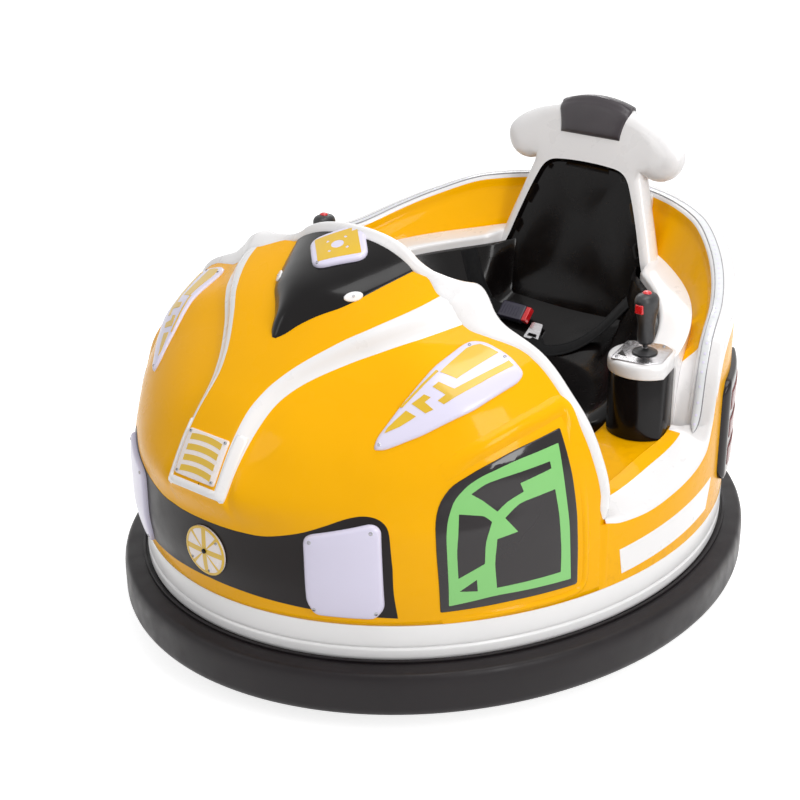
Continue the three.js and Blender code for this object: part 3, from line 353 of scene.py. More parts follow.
def filled(outline, holes=(), spacing=9, insets=()):
    """Triangles over an outline with holes: points, faces, and each point's distance from the rim."""
    loops = [resampled([Vector(p) for p in loop], spacing) for loop in (outline, *holes)]
    rim, holes = loops[0], loops[1:]
    points, edges = joined_loops(loops)
    points += inset_points(rim, insets)
    margin = max(insets, default=0) + spacing * 0.5
    xs = [p.x for p in rim]
    ys = [p.y for p in rim]
    columns = range(math.floor(min(xs) / spacing), math.ceil(max(xs) / spacing) + 1)
    rows = range(math.floor(min(ys) / spacing), math.ceil(max(ys) / spacing) + 1)
    for i in columns:
        for j in rows:
            q = Vector((i + 0.5 * (j % 2), j)) * spacing
            if inside(q, rim) and edge_distance(q, rim) > margin:
                if all(edge_distance(q, hole) > spacing * 0.4 for hole in holes):
                    points.append(q)
    out = geometry.delaunay_2d_cdt(points, edges, [], 1, 1e-4)
    points = out[0]
    faces = []
    for face in out[2]:
        middle = (points[face[0]] + points[face[1]] + points[face[2]]) / 3
        if not any(inside(middle, hole) for hole in holes):
            faces.append(tuple(face))
    return points, faces, [edge_distance(p, rim) for p in points]


def closed_plate(top, bottom, faces, slots=()):
    """Shape with triangles over its top and bottom, and walls round every edge that only one of them has."""
    count = len(top)
    edges = dict.fromkeys((a, b) for face in faces for a, b in zip(face, face[1:] + face[:1]))
    sides = [(b, a, a + count, b + count) for a, b in edges if (b, a) not in edges]
    under = [tuple(i + count for i in reversed(face)) for face in faces]
    every = faces + under + sides
    return Shape().add(top + bottom, every, [*slots] + [0] * (len(every) - len(slots)))


def roll_profile(distance, roll):
    """Height share of a rounded edge at a distance in from the rim."""
    t = min(1, distance / roll) if roll else 1
    return math.sqrt(max(0, 1 - (1 - t) ** 2))


class Place:
    """Frame on the car: centre, and axes to the viewer's right, up and out."""

    def __init__(self, centre, outward, right=None):
        self.centre, self.z = Vector(centre), Vector(outward).normalized()
        self.x = Vector((0, 0, 1)).cross(self.z) if right is None else Vector(right)
        self.x = (self.x - self.z * self.x.dot(self.z)).normalized()
        self.y = self.z.cross(self.x)

    def at(self, x, y, z=0):
        return self.centre + self.x * x + self.y * y + self.z * z


def on_skin(skin, place, x, y):
    """Where a surface lies under a point of a place, and its normal there."""
    hit, normal, _, _ = skin.ray_cast(place.at(x, y, RAY_START), -place.z)
    if hit is None:
        hit, normal, _, _ = skin.find_nearest(place.at(x, y))
    return hit, normal if normal.dot(place.z) > 0 else -normal


def laid(outline, place, skin, lift, thickness=0, roll=0, holes=(), spacing=9, dome=0, depth=1.2):
    """Closed plate that follows a surface: its outline drawn on a place, its top lifted off the surface."""
    insets = [roll * share for share in (0.08, 0.3, 0.6, 1)] if roll else []
    points, faces, rim = filled(outline, holes, spacing, insets)
    reach = max(max(rim), 1e-6)
    top, bottom = [], []
    for p, distance in zip(points, rim):
        hit, normal = on_skin(skin, place, p.x, p.y)
        height = lift + thickness * roll_profile(distance, roll) + dome * (1 - (1 - distance / reach) ** 2)
        top.append(hit + normal * height)
        bottom.append(hit - normal * depth)
    return closed_plate(top, bottom, faces)


def on_hood(outline, place, lift, **options):
    return laid(outline, place, HOOD_SKIN, lift, **options)


def screw(matrix, radius, height=1.8):
    """Pan-head screw with a cross recess, standing on the XY plane of a matrix."""
    arm, reach = 0.9, radius * 0.7
    cross = [(arm, arm), (arm, reach), (-arm, reach), (-arm, arm), (-reach, arm), (-reach, -arm),
             (-arm, -arm), (-arm, -reach), (arm, -reach), (arm, -arm), (reach, -arm), (reach, arm)]
    rim = circle(radius, 24)
    points, faces, _ = filled(rim, [cross], radius * 0.5)

    def level(outline, z):
        return [Vector((*p, z)) for p in outline]

    crowned = []
    for p in points:
        crowned.append(Vector((p.x, p.y, height * math.sqrt(max(0, 1 - 0.7 * (p.length / radius) ** 2)))))
    shape = Shape().add(crowned, faces)
    shape.join(sweep([level(rim, height * 0.55), level(rim, -1)], caps=False))
    well = level(cross, 0.1)
    shape.join(sweep([level(cross, height), well], caps=False))
    return shape.add(well, [tuple(range(len(well)))]).moved(matrix)


def standing(place, x, y, skin, lift):
    """Matrix with its Z off a surface at a point of a place."""
    hit, normal = on_skin(skin, place, x, y)
    across = (place.x - normal * place.x.dot(normal)).normalized()
    basis = Matrix((across, normal.cross(across), normal)).transposed().to_4x4()
    return Matrix.Translation(hit + normal * lift) @ basis @ Matrix.Rotation(0.4 + x * 0.7, 4, "Z")


# ---- Materials ------------------------------------------------------------------------------------
def srgb(r, g, b):
    """Linear colour from 0-255 values."""
    def one(v):
        v /= 255
        return v / 12.92 if v <= 0.04045 else ((v + 0.055) / 1.055) ** 2.4
    return (one(r), one(g), one(b), 1)


NOISE_SPAN = (0.3, 0.7)
WORN_POINTINESS = (0.52, 0.62)
WORN_PATCHES = (0.5, 0.62)


def material(name, rgb, roughness, grain, tone, metallic=0.0, coat=0.0, coat_roughness=0.06, specular=0.5,
             sheen=0.0, rough_spread=0.06, wear=None, stretch=(1, 1, 1)):
    """Procedural finish: grain is the strength and scale of the fine bump, tone the spread and scale of the
    drifting colour, and wear the share and colour of rubbed edges."""
    made = bpy.data.materials.new(name)
    made.use_nodes = True
    nodes, links = made.node_tree.nodes, made.node_tree.links
    shader = nodes["Principled BSDF"]
    for socket, value in (("Metallic", metallic), ("Coat Weight", coat), ("Coat Roughness", coat_roughness),
                          ("IOR", 1.5), ("Sheen Weight", sheen), ("Specular IOR Level", specular)):
        shader.inputs[socket].default_value = value
    place = nodes.new("ShaderNodeTexCoord")
    mapping = nodes.new("ShaderNodeMapping")
    mapping.inputs["Scale"].default_value = stretch
    links.new(place.outputs["Object"], mapping.inputs["Vector"])

    def noise(scale, detail=4.0):
        node = nodes.new("ShaderNodeTexNoise")
        node.inputs["Scale"].default_value = scale
        node.inputs["Detail"].default_value = detail
        links.new(mapping.outputs["Vector"], node.inputs["Vector"])
        return node.outputs["Fac"]

    def ramp(value, span, start, stop):
        node = nodes.new("ShaderNodeMapRange")
        links.new(value, node.inputs["Value"])
        for socket, number in zip(("From Min", "From Max", "To Min", "To Max"), (*span, start, stop)):
            node.inputs[socket].default_value = number
        return node.outputs["Result"]

    def mix(factor, a, b):
        node = nodes.new("ShaderNodeMix")
        node.data_type = "RGBA"
        links.new(factor, node.inputs["Factor"])
        for socket, value in zip([s for s in node.inputs if s.type == "RGBA"], (a, b)):
            if isinstance(value, tuple):
                socket.default_value = value
            else:
                links.new(value, socket)
        return node.outputs[2]

    def toned(factor):
        return tuple(min(1.0, c * factor) for c in srgb(*rgb)[:3]) + (1,)

    spread, drift = tone
    colours = mix(ramp(noise(drift), NOISE_SPAN, 0, 1), toned(1 - spread), toned(1 + spread))
    if wear:
        share, worn = wear
        geo = nodes.new("ShaderNodeNewGeometry")
        both = nodes.new("ShaderNodeMath")
        both.operation = "MULTIPLY"
        links.new(ramp(geo.outputs["Pointiness"], WORN_POINTINESS, 0, 1), both.inputs[0])
        links.new(ramp(noise(60, 6), WORN_PATCHES, 0, share), both.inputs[1])
        colours = mix(both.outputs[0], colours, srgb(*worn))
    links.new(colours, shader.inputs["Base Color"])
    low, high = max(0.02, roughness - rough_spread), min(1, roughness + rough_spread)
    rough = ramp(noise(drift * 4, 6), NOISE_SPAN, low, high)
    links.new(rough, shader.inputs["Roughness"])
    bump = nodes.new("ShaderNodeBump")
    bump.inputs["Strength"].default_value = grain[0]
    bump.inputs["Distance"].default_value = 0.001
    links.new(noise(grain[1], 3), bump.inputs["Height"])
    links.new(bump.outputs["Normal"], shader.inputs["Normal"])
    return made


YELLOW = material("yellow_gelcoat", (250, 180, 0), 0.28, (0.05, 45), (0.035, 3), coat=0.16,
                  coat_roughness=0.05, specular=0.03, wear=(0.25, (206, 128, 8)))
WHITE = material("white_gelcoat", (238, 236, 236), 0.3, (0.04, 50), (0.02, 4), coat=0.5, coat_roughness=0.08,
                 wear=(0.12, (196, 192, 188)))
SKIRT_WHITE = material("skirt_gelcoat", (243, 242, 242), 0.36, (0.05, 60), (0.03, 6), coat=0.2,
                       coat_roughness=0.15, wear=(0.4, (160, 156, 152)))
BLACK = material("black_gloss", (14, 11, 12), 0.2, (0.035, 40), (0.2, 5), coat=0.14, coat_roughness=0.04,
                 specular=0.15)
SEAT_BLACK = material("seat_gloss", (11, 8, 8), 0.24, (0.04, 70), (0.1, 7), coat=0.14, coat_roughness=0.1,
                      specular=0.15)
MASK_BLACK = material("mask_vinyl", (24, 18, 18), 0.36, (0.05, 140), (0.15, 6), coat=0.06, coat_roughness=0.2,
                      specular=0.15)
WINDOW_BLACK = material("window_pane", (30, 24, 26), 0.1, (0.02, 30), (0.2, 4), coat=0.4, coat_roughness=0.04,
                        specular=0.2)
GREEN = material("green_print", (132, 202, 116), 0.3, (0.02, 60), (0.02, 5), coat=0.3, coat_roughness=0.08,
                 specular=0.3, rough_spread=0.02)
PRINT_YELLOW = material("yellow_print", (222, 180, 22), 0.34, (0.04, 140), (0.06, 9), coat=0.3)
LENS = material("lamp_lens", (222, 217, 238), 0.3, (0.02, 60), (0.012, 8), coat=0.3, coat_roughness=0.08,
                specular=0.3, rough_spread=0.02)
PLATE = material("lamp_plate", (238, 228, 224), 0.26, (0.04, 150), (0.03, 9), coat=0.4, coat_roughness=0.06)
RUBBER = material("bumper_rubber", (30, 26, 28), 0.42, (0.12, 420), (0.16, 6), specular=0.22,
                  rough_spread=0.08, wear=(0.5, (70, 65, 64)))
TYRE = material("tyre_rubber", (34, 33, 34), 0.68, (0.25, 500), (0.2, 14), wear=(0.6, (88, 84, 80)))
CASTER_TREAD = material("caster_rubber", (52, 52, 56), 0.6, (0.2, 500), (0.18, 20))
CLEAR = material("clear_strip", (226, 228, 230), 0.16, (0.06, 220), (0.03, 20), coat=0.5, coat_roughness=0.04)
STRIP_EDGE = material("strip_edge", (150, 148, 152), 0.3, (0.06, 200), (0.1, 20), coat=0.3)
TAIL_LENS = material("tail_lens", (26, 19, 21), 0.2, (0.03, 60), (0.2, 8), coat=0.2, coat_roughness=0.04,
                     specular=0.2)
TAIL_RED = material("tail_red", (112, 12, 14), 0.22, (0.05, 200), (0.12, 12), coat=0.2, coat_roughness=0.04,
                    specular=0.2)
STEEL = material("bright_steel", (196, 194, 196), 0.24, (0.1, 700), (0.08, 30), metallic=1.0, stretch=(1, 14,
                                                                                                       1))
SCREW_STEEL = material("screw_steel", (170, 170, 172), 0.28, (0.05, 900), (0.1, 90), metallic=1.0)
FRAME_STEEL = material("frame_steel", (58, 60, 64), 0.5, (0.25, 260), (0.2, 10), metallic=0.3,
                       wear=(0.7, (128, 104, 84)))
ZINC = material("zinc_steel", (176, 176, 172), 0.4, (0.12, 220), (0.15, 26), metallic=0.9)
MOTOR = material("motor_metal", (92, 96, 102), 0.45, (0.16, 300), (0.14, 18), metallic=0.7)
HUB = material("hub_metal", (186, 186, 184), 0.36, (0.12, 280), (0.1, 20), metallic=0.8)
GRIP = material("grip_plastic", (30, 29, 31), 0.44, (0.22, 900), (0.14, 30), coat=0.1)
RED = material("red_plastic", (214, 22, 30), 0.26, (0.06, 400), (0.06, 40), coat=0.4)
DARK_PLASTIC = material("dark_plastic", (38, 34, 52), 0.36, (0.12, 600), (0.14, 30), coat=0.2)
WEBBING = material("belt_webbing", (9, 9, 11), 0.8, (0.5, 1500), (0.14, 30), specular=0.2, sheen=0.08)
LEATHER = material("pad_leather", (46, 39, 44), 0.44, (0.3, 700), (0.12, 18), coat=0.08, coat_roughness=0.3,
                   sheen=0.15)
BATTERY = material("battery_case", (36, 38, 42), 0.5, (0.2, 240), (0.14, 10))
LAMINATE = material("raw_laminate", (150, 138, 112), 0.62, (0.5, 120), (0.14, 12))
FLOOR_MAT = material("ribbed_mat", (44, 43, 46), 0.7, (0.3, 500), (0.16, 12))

# The part's slot that each finish stands in
SLOT_FINISHES = {
    "yellow_gelcoat": [YELLOW],
    "white_gelcoat": [WHITE, SKIRT_WHITE],
    "black_gloss": [BLACK, SEAT_BLACK, MASK_BLACK, TAIL_LENS, TAIL_RED],
    "window_panel": [WINDOW_BLACK, GREEN],
    "lamp_print": [PRINT_YELLOW, PLATE],
    "lamp_lens": [LENS],
    "bumper_rubber": [RUBBER],
    "drive_rubber": [TYRE],
    "clear_strip": [CLEAR],
    "bright_steel": [STEEL, SCREW_STEEL],
    "zinc_steel": [ZINC],
    "grip_plastic": [GRIP],
    "red_plastic": [RED],
    "dark_plastic": [DARK_PLASTIC],
    "black_pad": [WEBBING, LEATHER, FLOOR_MAT],
    "cockpit_gelcoat": [LAMINATE],
}
SLOTS = {finish.name: slot for slot, finishes in SLOT_FINISHES.items() for finish in finishes}


# ---- Bumper and skirt -----------------------------------------------------------------------------
ROUND = steps(0, 360, 216)[:-1]


def ring_of(section):
    return sweep([[plan_inset(d, a, z) for d, z in section] for a in ROUND], closed=True)


def bumper():
    section = rounded([(0, BUMPER_BOTTOM, 20), (0, BUMPER_TOP - 4, 26), (22, BUMPER_TOP - 1, 8),
                       (34, BUMPER_TOP, 3), (BUMPER_DEPTH, BUMPER_TOP, 4), (BUMPER_DEPTH, BUMPER_BOTTOM, 6)],
                      6, 6)
    shape = ring_of([(p.x - BUMPER_REACH, p.y) for p in section])
    piece("bumper", shape, RUBBER, "bumper_ring")
    band = ring_of([(p.x - 10, BUMPER_TOP + 0.2 + p.y) for p in oblong(0, 0, 5, 5, 1.5, 3)])
    piece("bumper_clamp_band", band, RUBBER)


def skirt():
    foot = BUMPER_TOP + 0.3
    section = rounded([(2, foot, 1), (0, foot + 5, 3), (0, foot + 21, 2), (3.4, foot + 24.5, 2),
                       (0.4, foot + 28, 3), (0, SKIRT_TOP, 3), (24, SKIRT_TOP, 2), (24, foot, 2)], 2, 4)
    piece("skirt", ring_of(section), SKIRT_WHITE, "base_skirt")


# ---- Hood -----------------------------------------------------------------------------------------
HOOD_PROFILES = (
    (8, ((210, 1), (300, 1.022), (370, 1.02), (428, 1.05), (490, 0.99), (540, 0.925), (590, 0.82),
         (640, 0.7))),
    (32, ((210, 1), (300, 1.018), (370, 1.018), (430, 1.006), (490, 0.978), (540, 0.935), (590, 0.87),
          (640, 0.765), (672, 0.65))),
    (65, ((210, 1), (300, 1), (370, 0.998), (430, 0.989), (490, 0.973), (540, 0.944), (590, 0.893),
          (635, 0.84), (675, 0.766), (700, 0.645))),
)
FOOT_HALF_WIDTH = ((0.021, 71), (0.203, 75), (0.294, 79), (0.385, 95), (0.567, 153), (0.658, 191),
                   (0.841, 257), (1, 292))
FOOT_HEIGHT = ((0.021, 425), (0.112, 488), (0.203, 533), (0.294, 568), (0.385, 596), (0.567, 636),
               (0.749, 671), (1, 700))
CREST_HALF_WIDTH = ((0, 57), (0.203, 57), (0.294, 63), (0.385, 82), (0.567, 146), (0.658, 184), (0.841, 236),
                    (1, 261))
CREST_HEIGHT = ((0, 437), (0.112, 517), (0.203, 562), (0.294, 592), (0.476, 644), (0.658, 688), (0.841, 717),
                (1, 737))
CROWN = ((0, 0), (0.203, 2), (0.476, 5), (0.658, 10), (0.841, 18), (1, 27))
FOOT_START = 0.021
SIDE_ROWS = 40
WALL_ROWS = 4
TOP_ROWS = 12
ALONG = steps(0, 1, 64)


def hood_share(degrees, z):
    at = max(abs(degrees), HOOD_PROFILES[0][0])
    total = 0
    for i, (here, knots) in enumerate(HOOD_PROFILES):
        weight = 1
        for j, (other, _) in enumerate(HOOD_PROFILES):
            if j != i:
                weight *= (at - other) / (here - other)
        total += weight * through(knots, z)
    return total


def spine_y(u):
    return NOSE_Y + (ARCH_TOP_Y - NOSE_Y) * u


def foot_point(u):
    at = max(u, FOOT_START)
    return Vector((through(FOOT_HALF_WIDTH, at), spine_y(at), through(FOOT_HEIGHT, at)))


def spine_point(u, side):
    z = through(CREST_HEIGHT, u) + through(CROWN, u) * (1 - side * side)
    return Vector((through(CREST_HALF_WIDTH, u) * side, spine_y(u), z))


def on_side(degrees, z):
    return plan(hood_share(degrees, z), degrees, z)


def arch_y(z):
    return through(((400, ARCH_FOOT_Y), (700, ARCH_TOP_Y)), z)


def arch_degrees(z):
    """Direction at which the side of the hood meets the arch."""
    low, high = 40, 85
    for _ in range(24):
        middle = (low + high) / 2
        if on_side(middle, z).y < arch_y(z):
            low = middle
        else:
            high = middle
    return low


def degrees_of(p):
    return math.degrees(math.atan2(p.x / WALL_HALF_WIDTH, -p.y / WALL_HALF_LENGTH))


NOSE_DEGREES = degrees_of(foot_point(0))
ARCH_TOP = foot_point(1)


def side_point(u, z):
    """Side of the hood at a height: u runs from the nose to the arch."""
    top = foot_point(u)
    t = (z - HOOD_BASE) / (top.z - HOOD_BASE)
    crowd = (degrees_of(top) - NOSE_DEGREES) / (degrees_of(ARCH_TOP) - NOSE_DEGREES)
    spread = u + (crowd - u) * t * t
    arch_height = HOOD_BASE + (ARCH_TOP.z - HOOD_BASE) * t
    arch_at = arch_degrees(arch_height) + (degrees_of(ARCH_TOP) - arch_degrees(ARCH_TOP.z)) * t ** 8
    point = on_side(NOSE_DEGREES + (arch_at - NOSE_DEGREES) * spread, z)
    slip = top - on_side(degrees_of(top), top.z)
    return point + slip * t ** 6


def hood_grid():
    """Left half of the hood's outer skin: nose columns, then columns along the spine. Rows run upwards."""
    rows = steps(0, 1, SIDE_ROWS)
    columns = []
    for share in steps(0, 1, 8)[:-1]:
        column = []
        for t in rows:
            z = HOOD_BASE + (foot_point(0).z - HOOD_BASE) * t
            degrees = NOSE_DEGREES * share
            slip = side_point(0, z) - on_side(NOSE_DEGREES, z)
            column.append(on_side(degrees, z) + Vector((slip.x * share, slip.y, 0)))
        top = spine_point(0, share)
        column += [column[-1].lerp(top, k / WALL_ROWS) for k in range(1, WALL_ROWS + 1)]
        column += [top] * TOP_ROWS
        columns.append(column)
    for u in ALONG:
        foot = foot_point(u)
        column = [side_point(u, HOOD_BASE + (foot.z - HOOD_BASE) * t) for t in rows[:-1]] + [foot]
        column += [foot.lerp(spine_point(u, 1), k / WALL_ROWS) for k in range(1, WALL_ROWS + 1)]
        column += [spine_point(u, 1 - k / TOP_ROWS) for k in range(1, TOP_ROWS + 1)]
        columns.append(column)
    return columns


def hood_shape():
    """Whole outer skin, eased with a few smoothing passes so that its corners are moulded, not folded."""
    columns = hood_grid()
    height = len(columns[0])
    faces, slots = [], []
    for i in range(len(columns) - 1):
        for j in range(height - 1):
            a, b = i * height + j, (i + 1) * height + j
            faces.append((a, b, b + 1, a + 1))
            in_stripe = SIDE_ROWS <= j < SIDE_ROWS + WALL_ROWS + 1
            slots.append(1 if in_stripe and i >= 7 else 0)
    half = Shape().add([p for column in columns for p in column], faces, slots)
    whole = Shape().join(half).join(half.mirrored())
    bm = bmesh.new()
    verts = [bm.verts.new(p) for p in whole.points]
    for face, slot in zip(whole.faces, whole.slots):
        made = bm.faces.new([verts[i] for i in face])
        made.material_index = slot
    bmesh.ops.remove_doubles(bm, verts=bm.verts, dist=0.05)
    bmesh.ops.dissolve_degenerate(bm, edges=bm.edges, dist=0.02)
    for _ in range(3):
        eased = {}
        for v in bm.verts:
            if not v.is_boundary:
                around = sum((e.other_vert(v).co for e in v.link_edges), Vector()) / len(v.link_edges)
                eased[v] = v.co.lerp(around, 0.5)
        for v, co in eased.items():
            v.co = co
    bmesh.ops.recalc_face_normals(bm, faces=bm.faces)
    bm.verts.index_update()
    out = Shape().add([v.co.copy() for v in bm.verts], [tuple(v.index for v in f.verts) for f in bm.faces],
                      [f.material_index for f in bm.faces])
    bm.free()
    return out


HOOD = hood_shape()
HOOD_SKIN = BVHTree.FromPolygons(HOOD.points, HOOD.faces)


def hood():
    obj = piece("hood", HOOD, [YELLOW, WHITE, LAMINATE], "front_hood", crease=70)
    under_hood = Vector((0, -0.3, 0.3))
    if sum(f.normal.dot(f.center - under_hood) for f in obj.data.polygons) < 0:
        obj.data.flip_normals()
    solid = obj.modifiers.new("thickness", "SOLIDIFY")
    solid.thickness = 0.011
    solid.offset = -1
    solid.material_offset = 2
    solid.material_offset_rim = 0


# ---- What stands on the hood ----------------------------------------------------------------------
def oval_place(degrees, z):
    centre = on_side(degrees, z)
    return Place(centre, (centre.x / WALL_HALF_WIDTH ** 2, centre.y / WALL_HALF_LENGTH ** 2, 0))


def both_sides(name, shape, materials, stands_for=None, slot=None, **options):
    """A piece on the driver's left and its mirror image on the right."""
    for side, made in (("left", shape), ("right", shape.mirrored())):
        node = f"{stands_for}_{side}" if stands_for else None
        piece(f"{name}_{side}", made, materials, node, slot=slot, **options)


def screws(name, place, spots, skin, lift, radius=3.6, make=piece):
    shape = Shape()
    for x, y in spots:
        shape.join(screw(standing(place, x, y, skin, lift), radius))
    make(name, shape, SCREW_STEEL)


ACROSS = (1, 0, 0)
FRONT = Place((0, -700, 0), (0, -1, 0), right=ACROSS)
PLATE_PLACE = Place(spine_point(0.067, 0), (0, -0.83, 0.56), right=ACROSS)
WINDOW_PLACE = oval_place(54.9, 345)


def nose_mask():
    top = [(0, 366), (47, 366), (90, 367), (135, 371), (193, 388), (235, 407), (268, 423), (293, 427),
           (314, 417), (326, 392)]
    end = [(331, 330), (332, 227)]
    bottom = [(250, 233), (160, 239), (70, 244), (0, 246)]
    right = spline(top + end[:1], 5, closed=False) + [Vector(p) for p in end[1:] + bottom]
    mask = on_hood(mirrored_outline(right), FRONT, 0.5, spacing=14)
    piece("nose_mask", mask, MASK_BLACK, crease=60)


def headlights():
    place = oval_place(26.9, 322)
    outline = rounded([(-65, -66, 10), (-66, 58), (-54, 68, 8), (54, 93, 10), (69, 83, 10), (73, -72),
                       (56, -95), (-52, -94)], 12, 5)
    lens = on_hood(outline, place, 0.2, thickness=8, roll=8, spacing=12, dome=2.5)
    both_sides("headlight_lens", lens, LENS, "headlight", crease=60)
    spots = [(-53, 56), (52, 78), (58, -78), (-50, -78)]
    screws("headlight_screws", place, spots, HOOD_SKIN, 8.6, make=both_sides)


def round_lamp():
    place = Place(on_side(0, 306), (0, -1, 0), right=ACROSS)
    disc = on_hood(circle(48, 72), place, 0.6, thickness=4, roll=3, spacing=7)
    piece("round_lamp", disc, PLATE, "round_front_lamp", crease=60)
    inner, end = 43.5, 43.8
    prints = on_hood(circle(48.2, 72), place, 4.4, thickness=0.9, roll=0.9, holes=[circle(inner, 72)],
                     spacing=4, depth=-4)
    bar = ((end, 5.2), (-end, 5.2), (-end, -5.2), (end, -5.2))
    wedge = ((9, -1), (end, -3.2), (end, 3.2), (9, 1))
    for corners, lift, turns in ((bar, 4.7, (90, 0)), (wedge, 4.8, (45, 135, 225, 315))):
        for turn in turns:
            a = math.radians(turn)
            along, across = Vector((math.cos(a), math.sin(a))), Vector((-math.sin(a), math.cos(a)))
            spoke = [along * x + across * y for x, y in corners]
            prints.join(on_hood(spoke, place, lift, spacing=8, depth=0.5 - lift))
    piece("round_lamp_spokes", prints, PRINT_YELLOW, crease=50)
    bolt = turned([(0, 8), (2.5, 8), (4.5, 6.6), (4.5, 4), (0, 4)], 24)
    piece("round_lamp_bolt", bolt.moved(standing(place, 0, 0, HOOD_SKIN, 0.6)), BLACK)
    screws("round_lamp_screws", place, [(-33, -22), (30, 24), (6, -38)], HOOD_SKIN, 4.4, 2.6)


def light_plate():
    plate = on_hood(oblong(-49, -42, 49, 42, 6, 4), PLATE_PLACE, 0.6, thickness=3.4, roll=2.4, spacing=8)
    piece("light_plate", plate, PLATE, "front_light_plate", crease=60)

    def arc(height, along):
        return [Vector((x, height + 3.5 * (1 - (x / 36) ** 2))) for x in along]

    bands = Shape()
    for low in (-35, -16, 3, 22):
        outline = arc(low + 11, steps(-38, 38, 8)) + arc(low, steps(38, -38, 8))
        bands.join(on_hood(outline, PLATE_PLACE, 4.3, depth=-3.6))
    piece("light_plate_bands", bands, PRINT_YELLOW, crease=50)
    screws("light_plate_screws", PLATE_PLACE, [(-43, -36), (43, -36), (-43, 36), (43, 36)], HOOD_SKIN, 4, 3)


def nose_frame():
    """White moulded border round three sides of the light plate."""
    outline = [(-72, 58), (-70, -61, 8), (70, -61, 8), (72, 58), (56, 58), (54, -47, 3), (-54, -47, 3),
               (-56, 58)]
    shape = on_hood(rounded(outline, 0, 4), PLATE_PLACE, 0.3, thickness=2.6, roll=4, spacing=7)
    piece("nose_frame", shape, WHITE, crease=60)


SHOULDER_TIP = on_side(31.9, 547)
SHOULDER_HEEL = on_side(55.5, 657)


def shoulder_lamps():
    place = Place((SHOULDER_TIP + SHOULDER_HEEL) / 2, (0.52, -0.42, 0.74), right=SHOULDER_HEEL - SHOULDER_TIP)
    outline = rounded([(-147, -9, 7), (-132, -22), (-69, -43), (22, -63, 14), (123, -68, 12), (141, -60, 9),
                       (143, -20, 16), (130, 27, 12), (114, 44, 14), (96, 48), (23, 41, 12), (-65, 21, 12),
                       (-130, 3, 8)], 10, 3)
    lens = on_hood(outline, place, 0.4, thickness=5.4, roll=7, spacing=10, dome=0.6)
    both_sides("shoulder_lens", lens, LENS, "shoulder_lamp", slot="lamp_print", crease=60)
    prints = Shape()
    for corners in (
            [(21, 24), (91, 35), (104, 33), (116, 28), (124, 12), (129, -5), (34, -3)],
            [(-6, 11), (7, 11), (19, -15), (132, -28), (133, -40), (-11, -25), (-15, -14), (1, -14)],
            [(-51, 10), (-25, 9), (-20, -2), (-33, -2), (-30, -21), (-44, -18)],
            [(-116, 0), (-106, 4), (-65, 7), (-59, -12), (-90, -8)],
            [(18, 31), (20, 27), (-66, 15), (-69, 18)]):
        prints.join(on_hood(corners, place, 6.8, depth=-5.6))
    both_sides("shoulder_prints", prints, PRINT_YELLOW, crease=50)
    screws("shoulder_screws", place, [(101, 38), (132, -18), (-134, -9)], HOOD_SKIN, 5.4, 3, make=both_sides)


def windows():
    outline = rounded([(-127, -109, 2), (-136, 18), (-136, 63), (-127, 98, 16), (-105, 127, 16), (-54, 152),
                       (9, 174), (103, 196, 3), (121, 111), (130, 39), (134, -36), (135, -104, 4), (4, -104)],
                      20, 3)
    pane = on_hood(outline, WINDOW_PLACE, 0.3, thickness=2.4, roll=2.2, spacing=11)
    both_sides("window_pane", pane, WINDOW_BLACK, "side_window", crease=60)
    edge = rounded([(-113, -95, 2), (-119, 40), (-114, 69, 12), (-101, 103, 12), (-78, 125, 8),
                    (-53, 139, 12), (7, 157), (95, 173, 2), (98, 145, 8), (113, 19), (119, -88, 2),
                    (-30, -85)], 20, 3)
    holes = [rounded(hole, 1, 2) for hole in (
        [(-71, 111), (-45, 126, 8), (-18, 132, 8), (76, 146), (78, 133), (18, 118), (24, 102), (-8, 89, 12),
         (-26, 74), (-51, 97)],
        [(-94, 78), (-50, 70, 6), (-37, 58), (-50, 24, 12), (-51, -18), (-98, -41), (-101, 14, 14)],
        [(-13, 61), (15, 83, 12), (84, 95), (91, 49, 12), (97, -25, 12), (97, -68), (-28, -70),
         (-33, -20, 14), (-29, 26), (10, 33)],
        [(-96, -67), (-65, -47), (-63, -71)])]
    green = on_hood(edge, WINDOW_PLACE, 3.1, holes=holes, spacing=11, depth=-2.5)
    both_sides("window_print", green, GREEN, crease=50)


def bead(points, width, height):
    """Raised bead moulded in the hood along a line by the window, fading out at both ends."""
    path = spline(points, 6, closed=False)
    rings = []
    for i, p in enumerate(path):
        run = heading(path, i)
        side = Vector((run.y, -run.x))
        tall = height * ease(0, 0.22, min(i, len(path) - 1 - i) / len(path))
        ring = []
        for w in steps(-1, 1, 12):
            q = p + side * w * width / 2
            hit, normal = on_skin(HOOD_SKIN, WINDOW_PLACE, q.x, q.y)
            ring.append(hit + normal * (tall * (1 - w * w) ** 1.5 + 0.15 - 0.6 * (abs(w) > 0.99)))
        hit, normal = on_skin(HOOD_SKIN, WINDOW_PLACE, p.x, p.y)
        rings.append(ring + [hit - normal * 1.5])
    return sweep(rings)


def window_mouldings():
    """Raised bead round the foot and back of each window, and a brow over it."""
    foot = [(-124, -131), (-60, -127), (30, -124), (118, -122), (146, -112), (153, -88), (152, -30),
            (147, 50), (137, 120)]
    brow = [(-118, 148), (-60, 178), (10, 203), (70, 219), (112, 228), (128, 210), (136, 160)]
    shape = bead(foot, 16, 3.4).join(bead(brow, 34, 6))
    both_sides("window_moulding", shape, YELLOW, crease=80)


# ---- Cowl -----------------------------------------------------------------------------------------
COWL_TIP = 0.492
COWL_HALF_WIDTH = ((COWL_TIP, 4), (0.517, 16), (0.567, 30), (0.62, 50), (0.704, 86), (0.845, 118), (1, 148))
COWL_CREST = ((COWL_TIP, 655), (0.533, 686), (0.59, 712), (0.658, 735), (0.772, 758), (0.886, 777), (1, 796))
COWL_LAMP_AT = 0.891


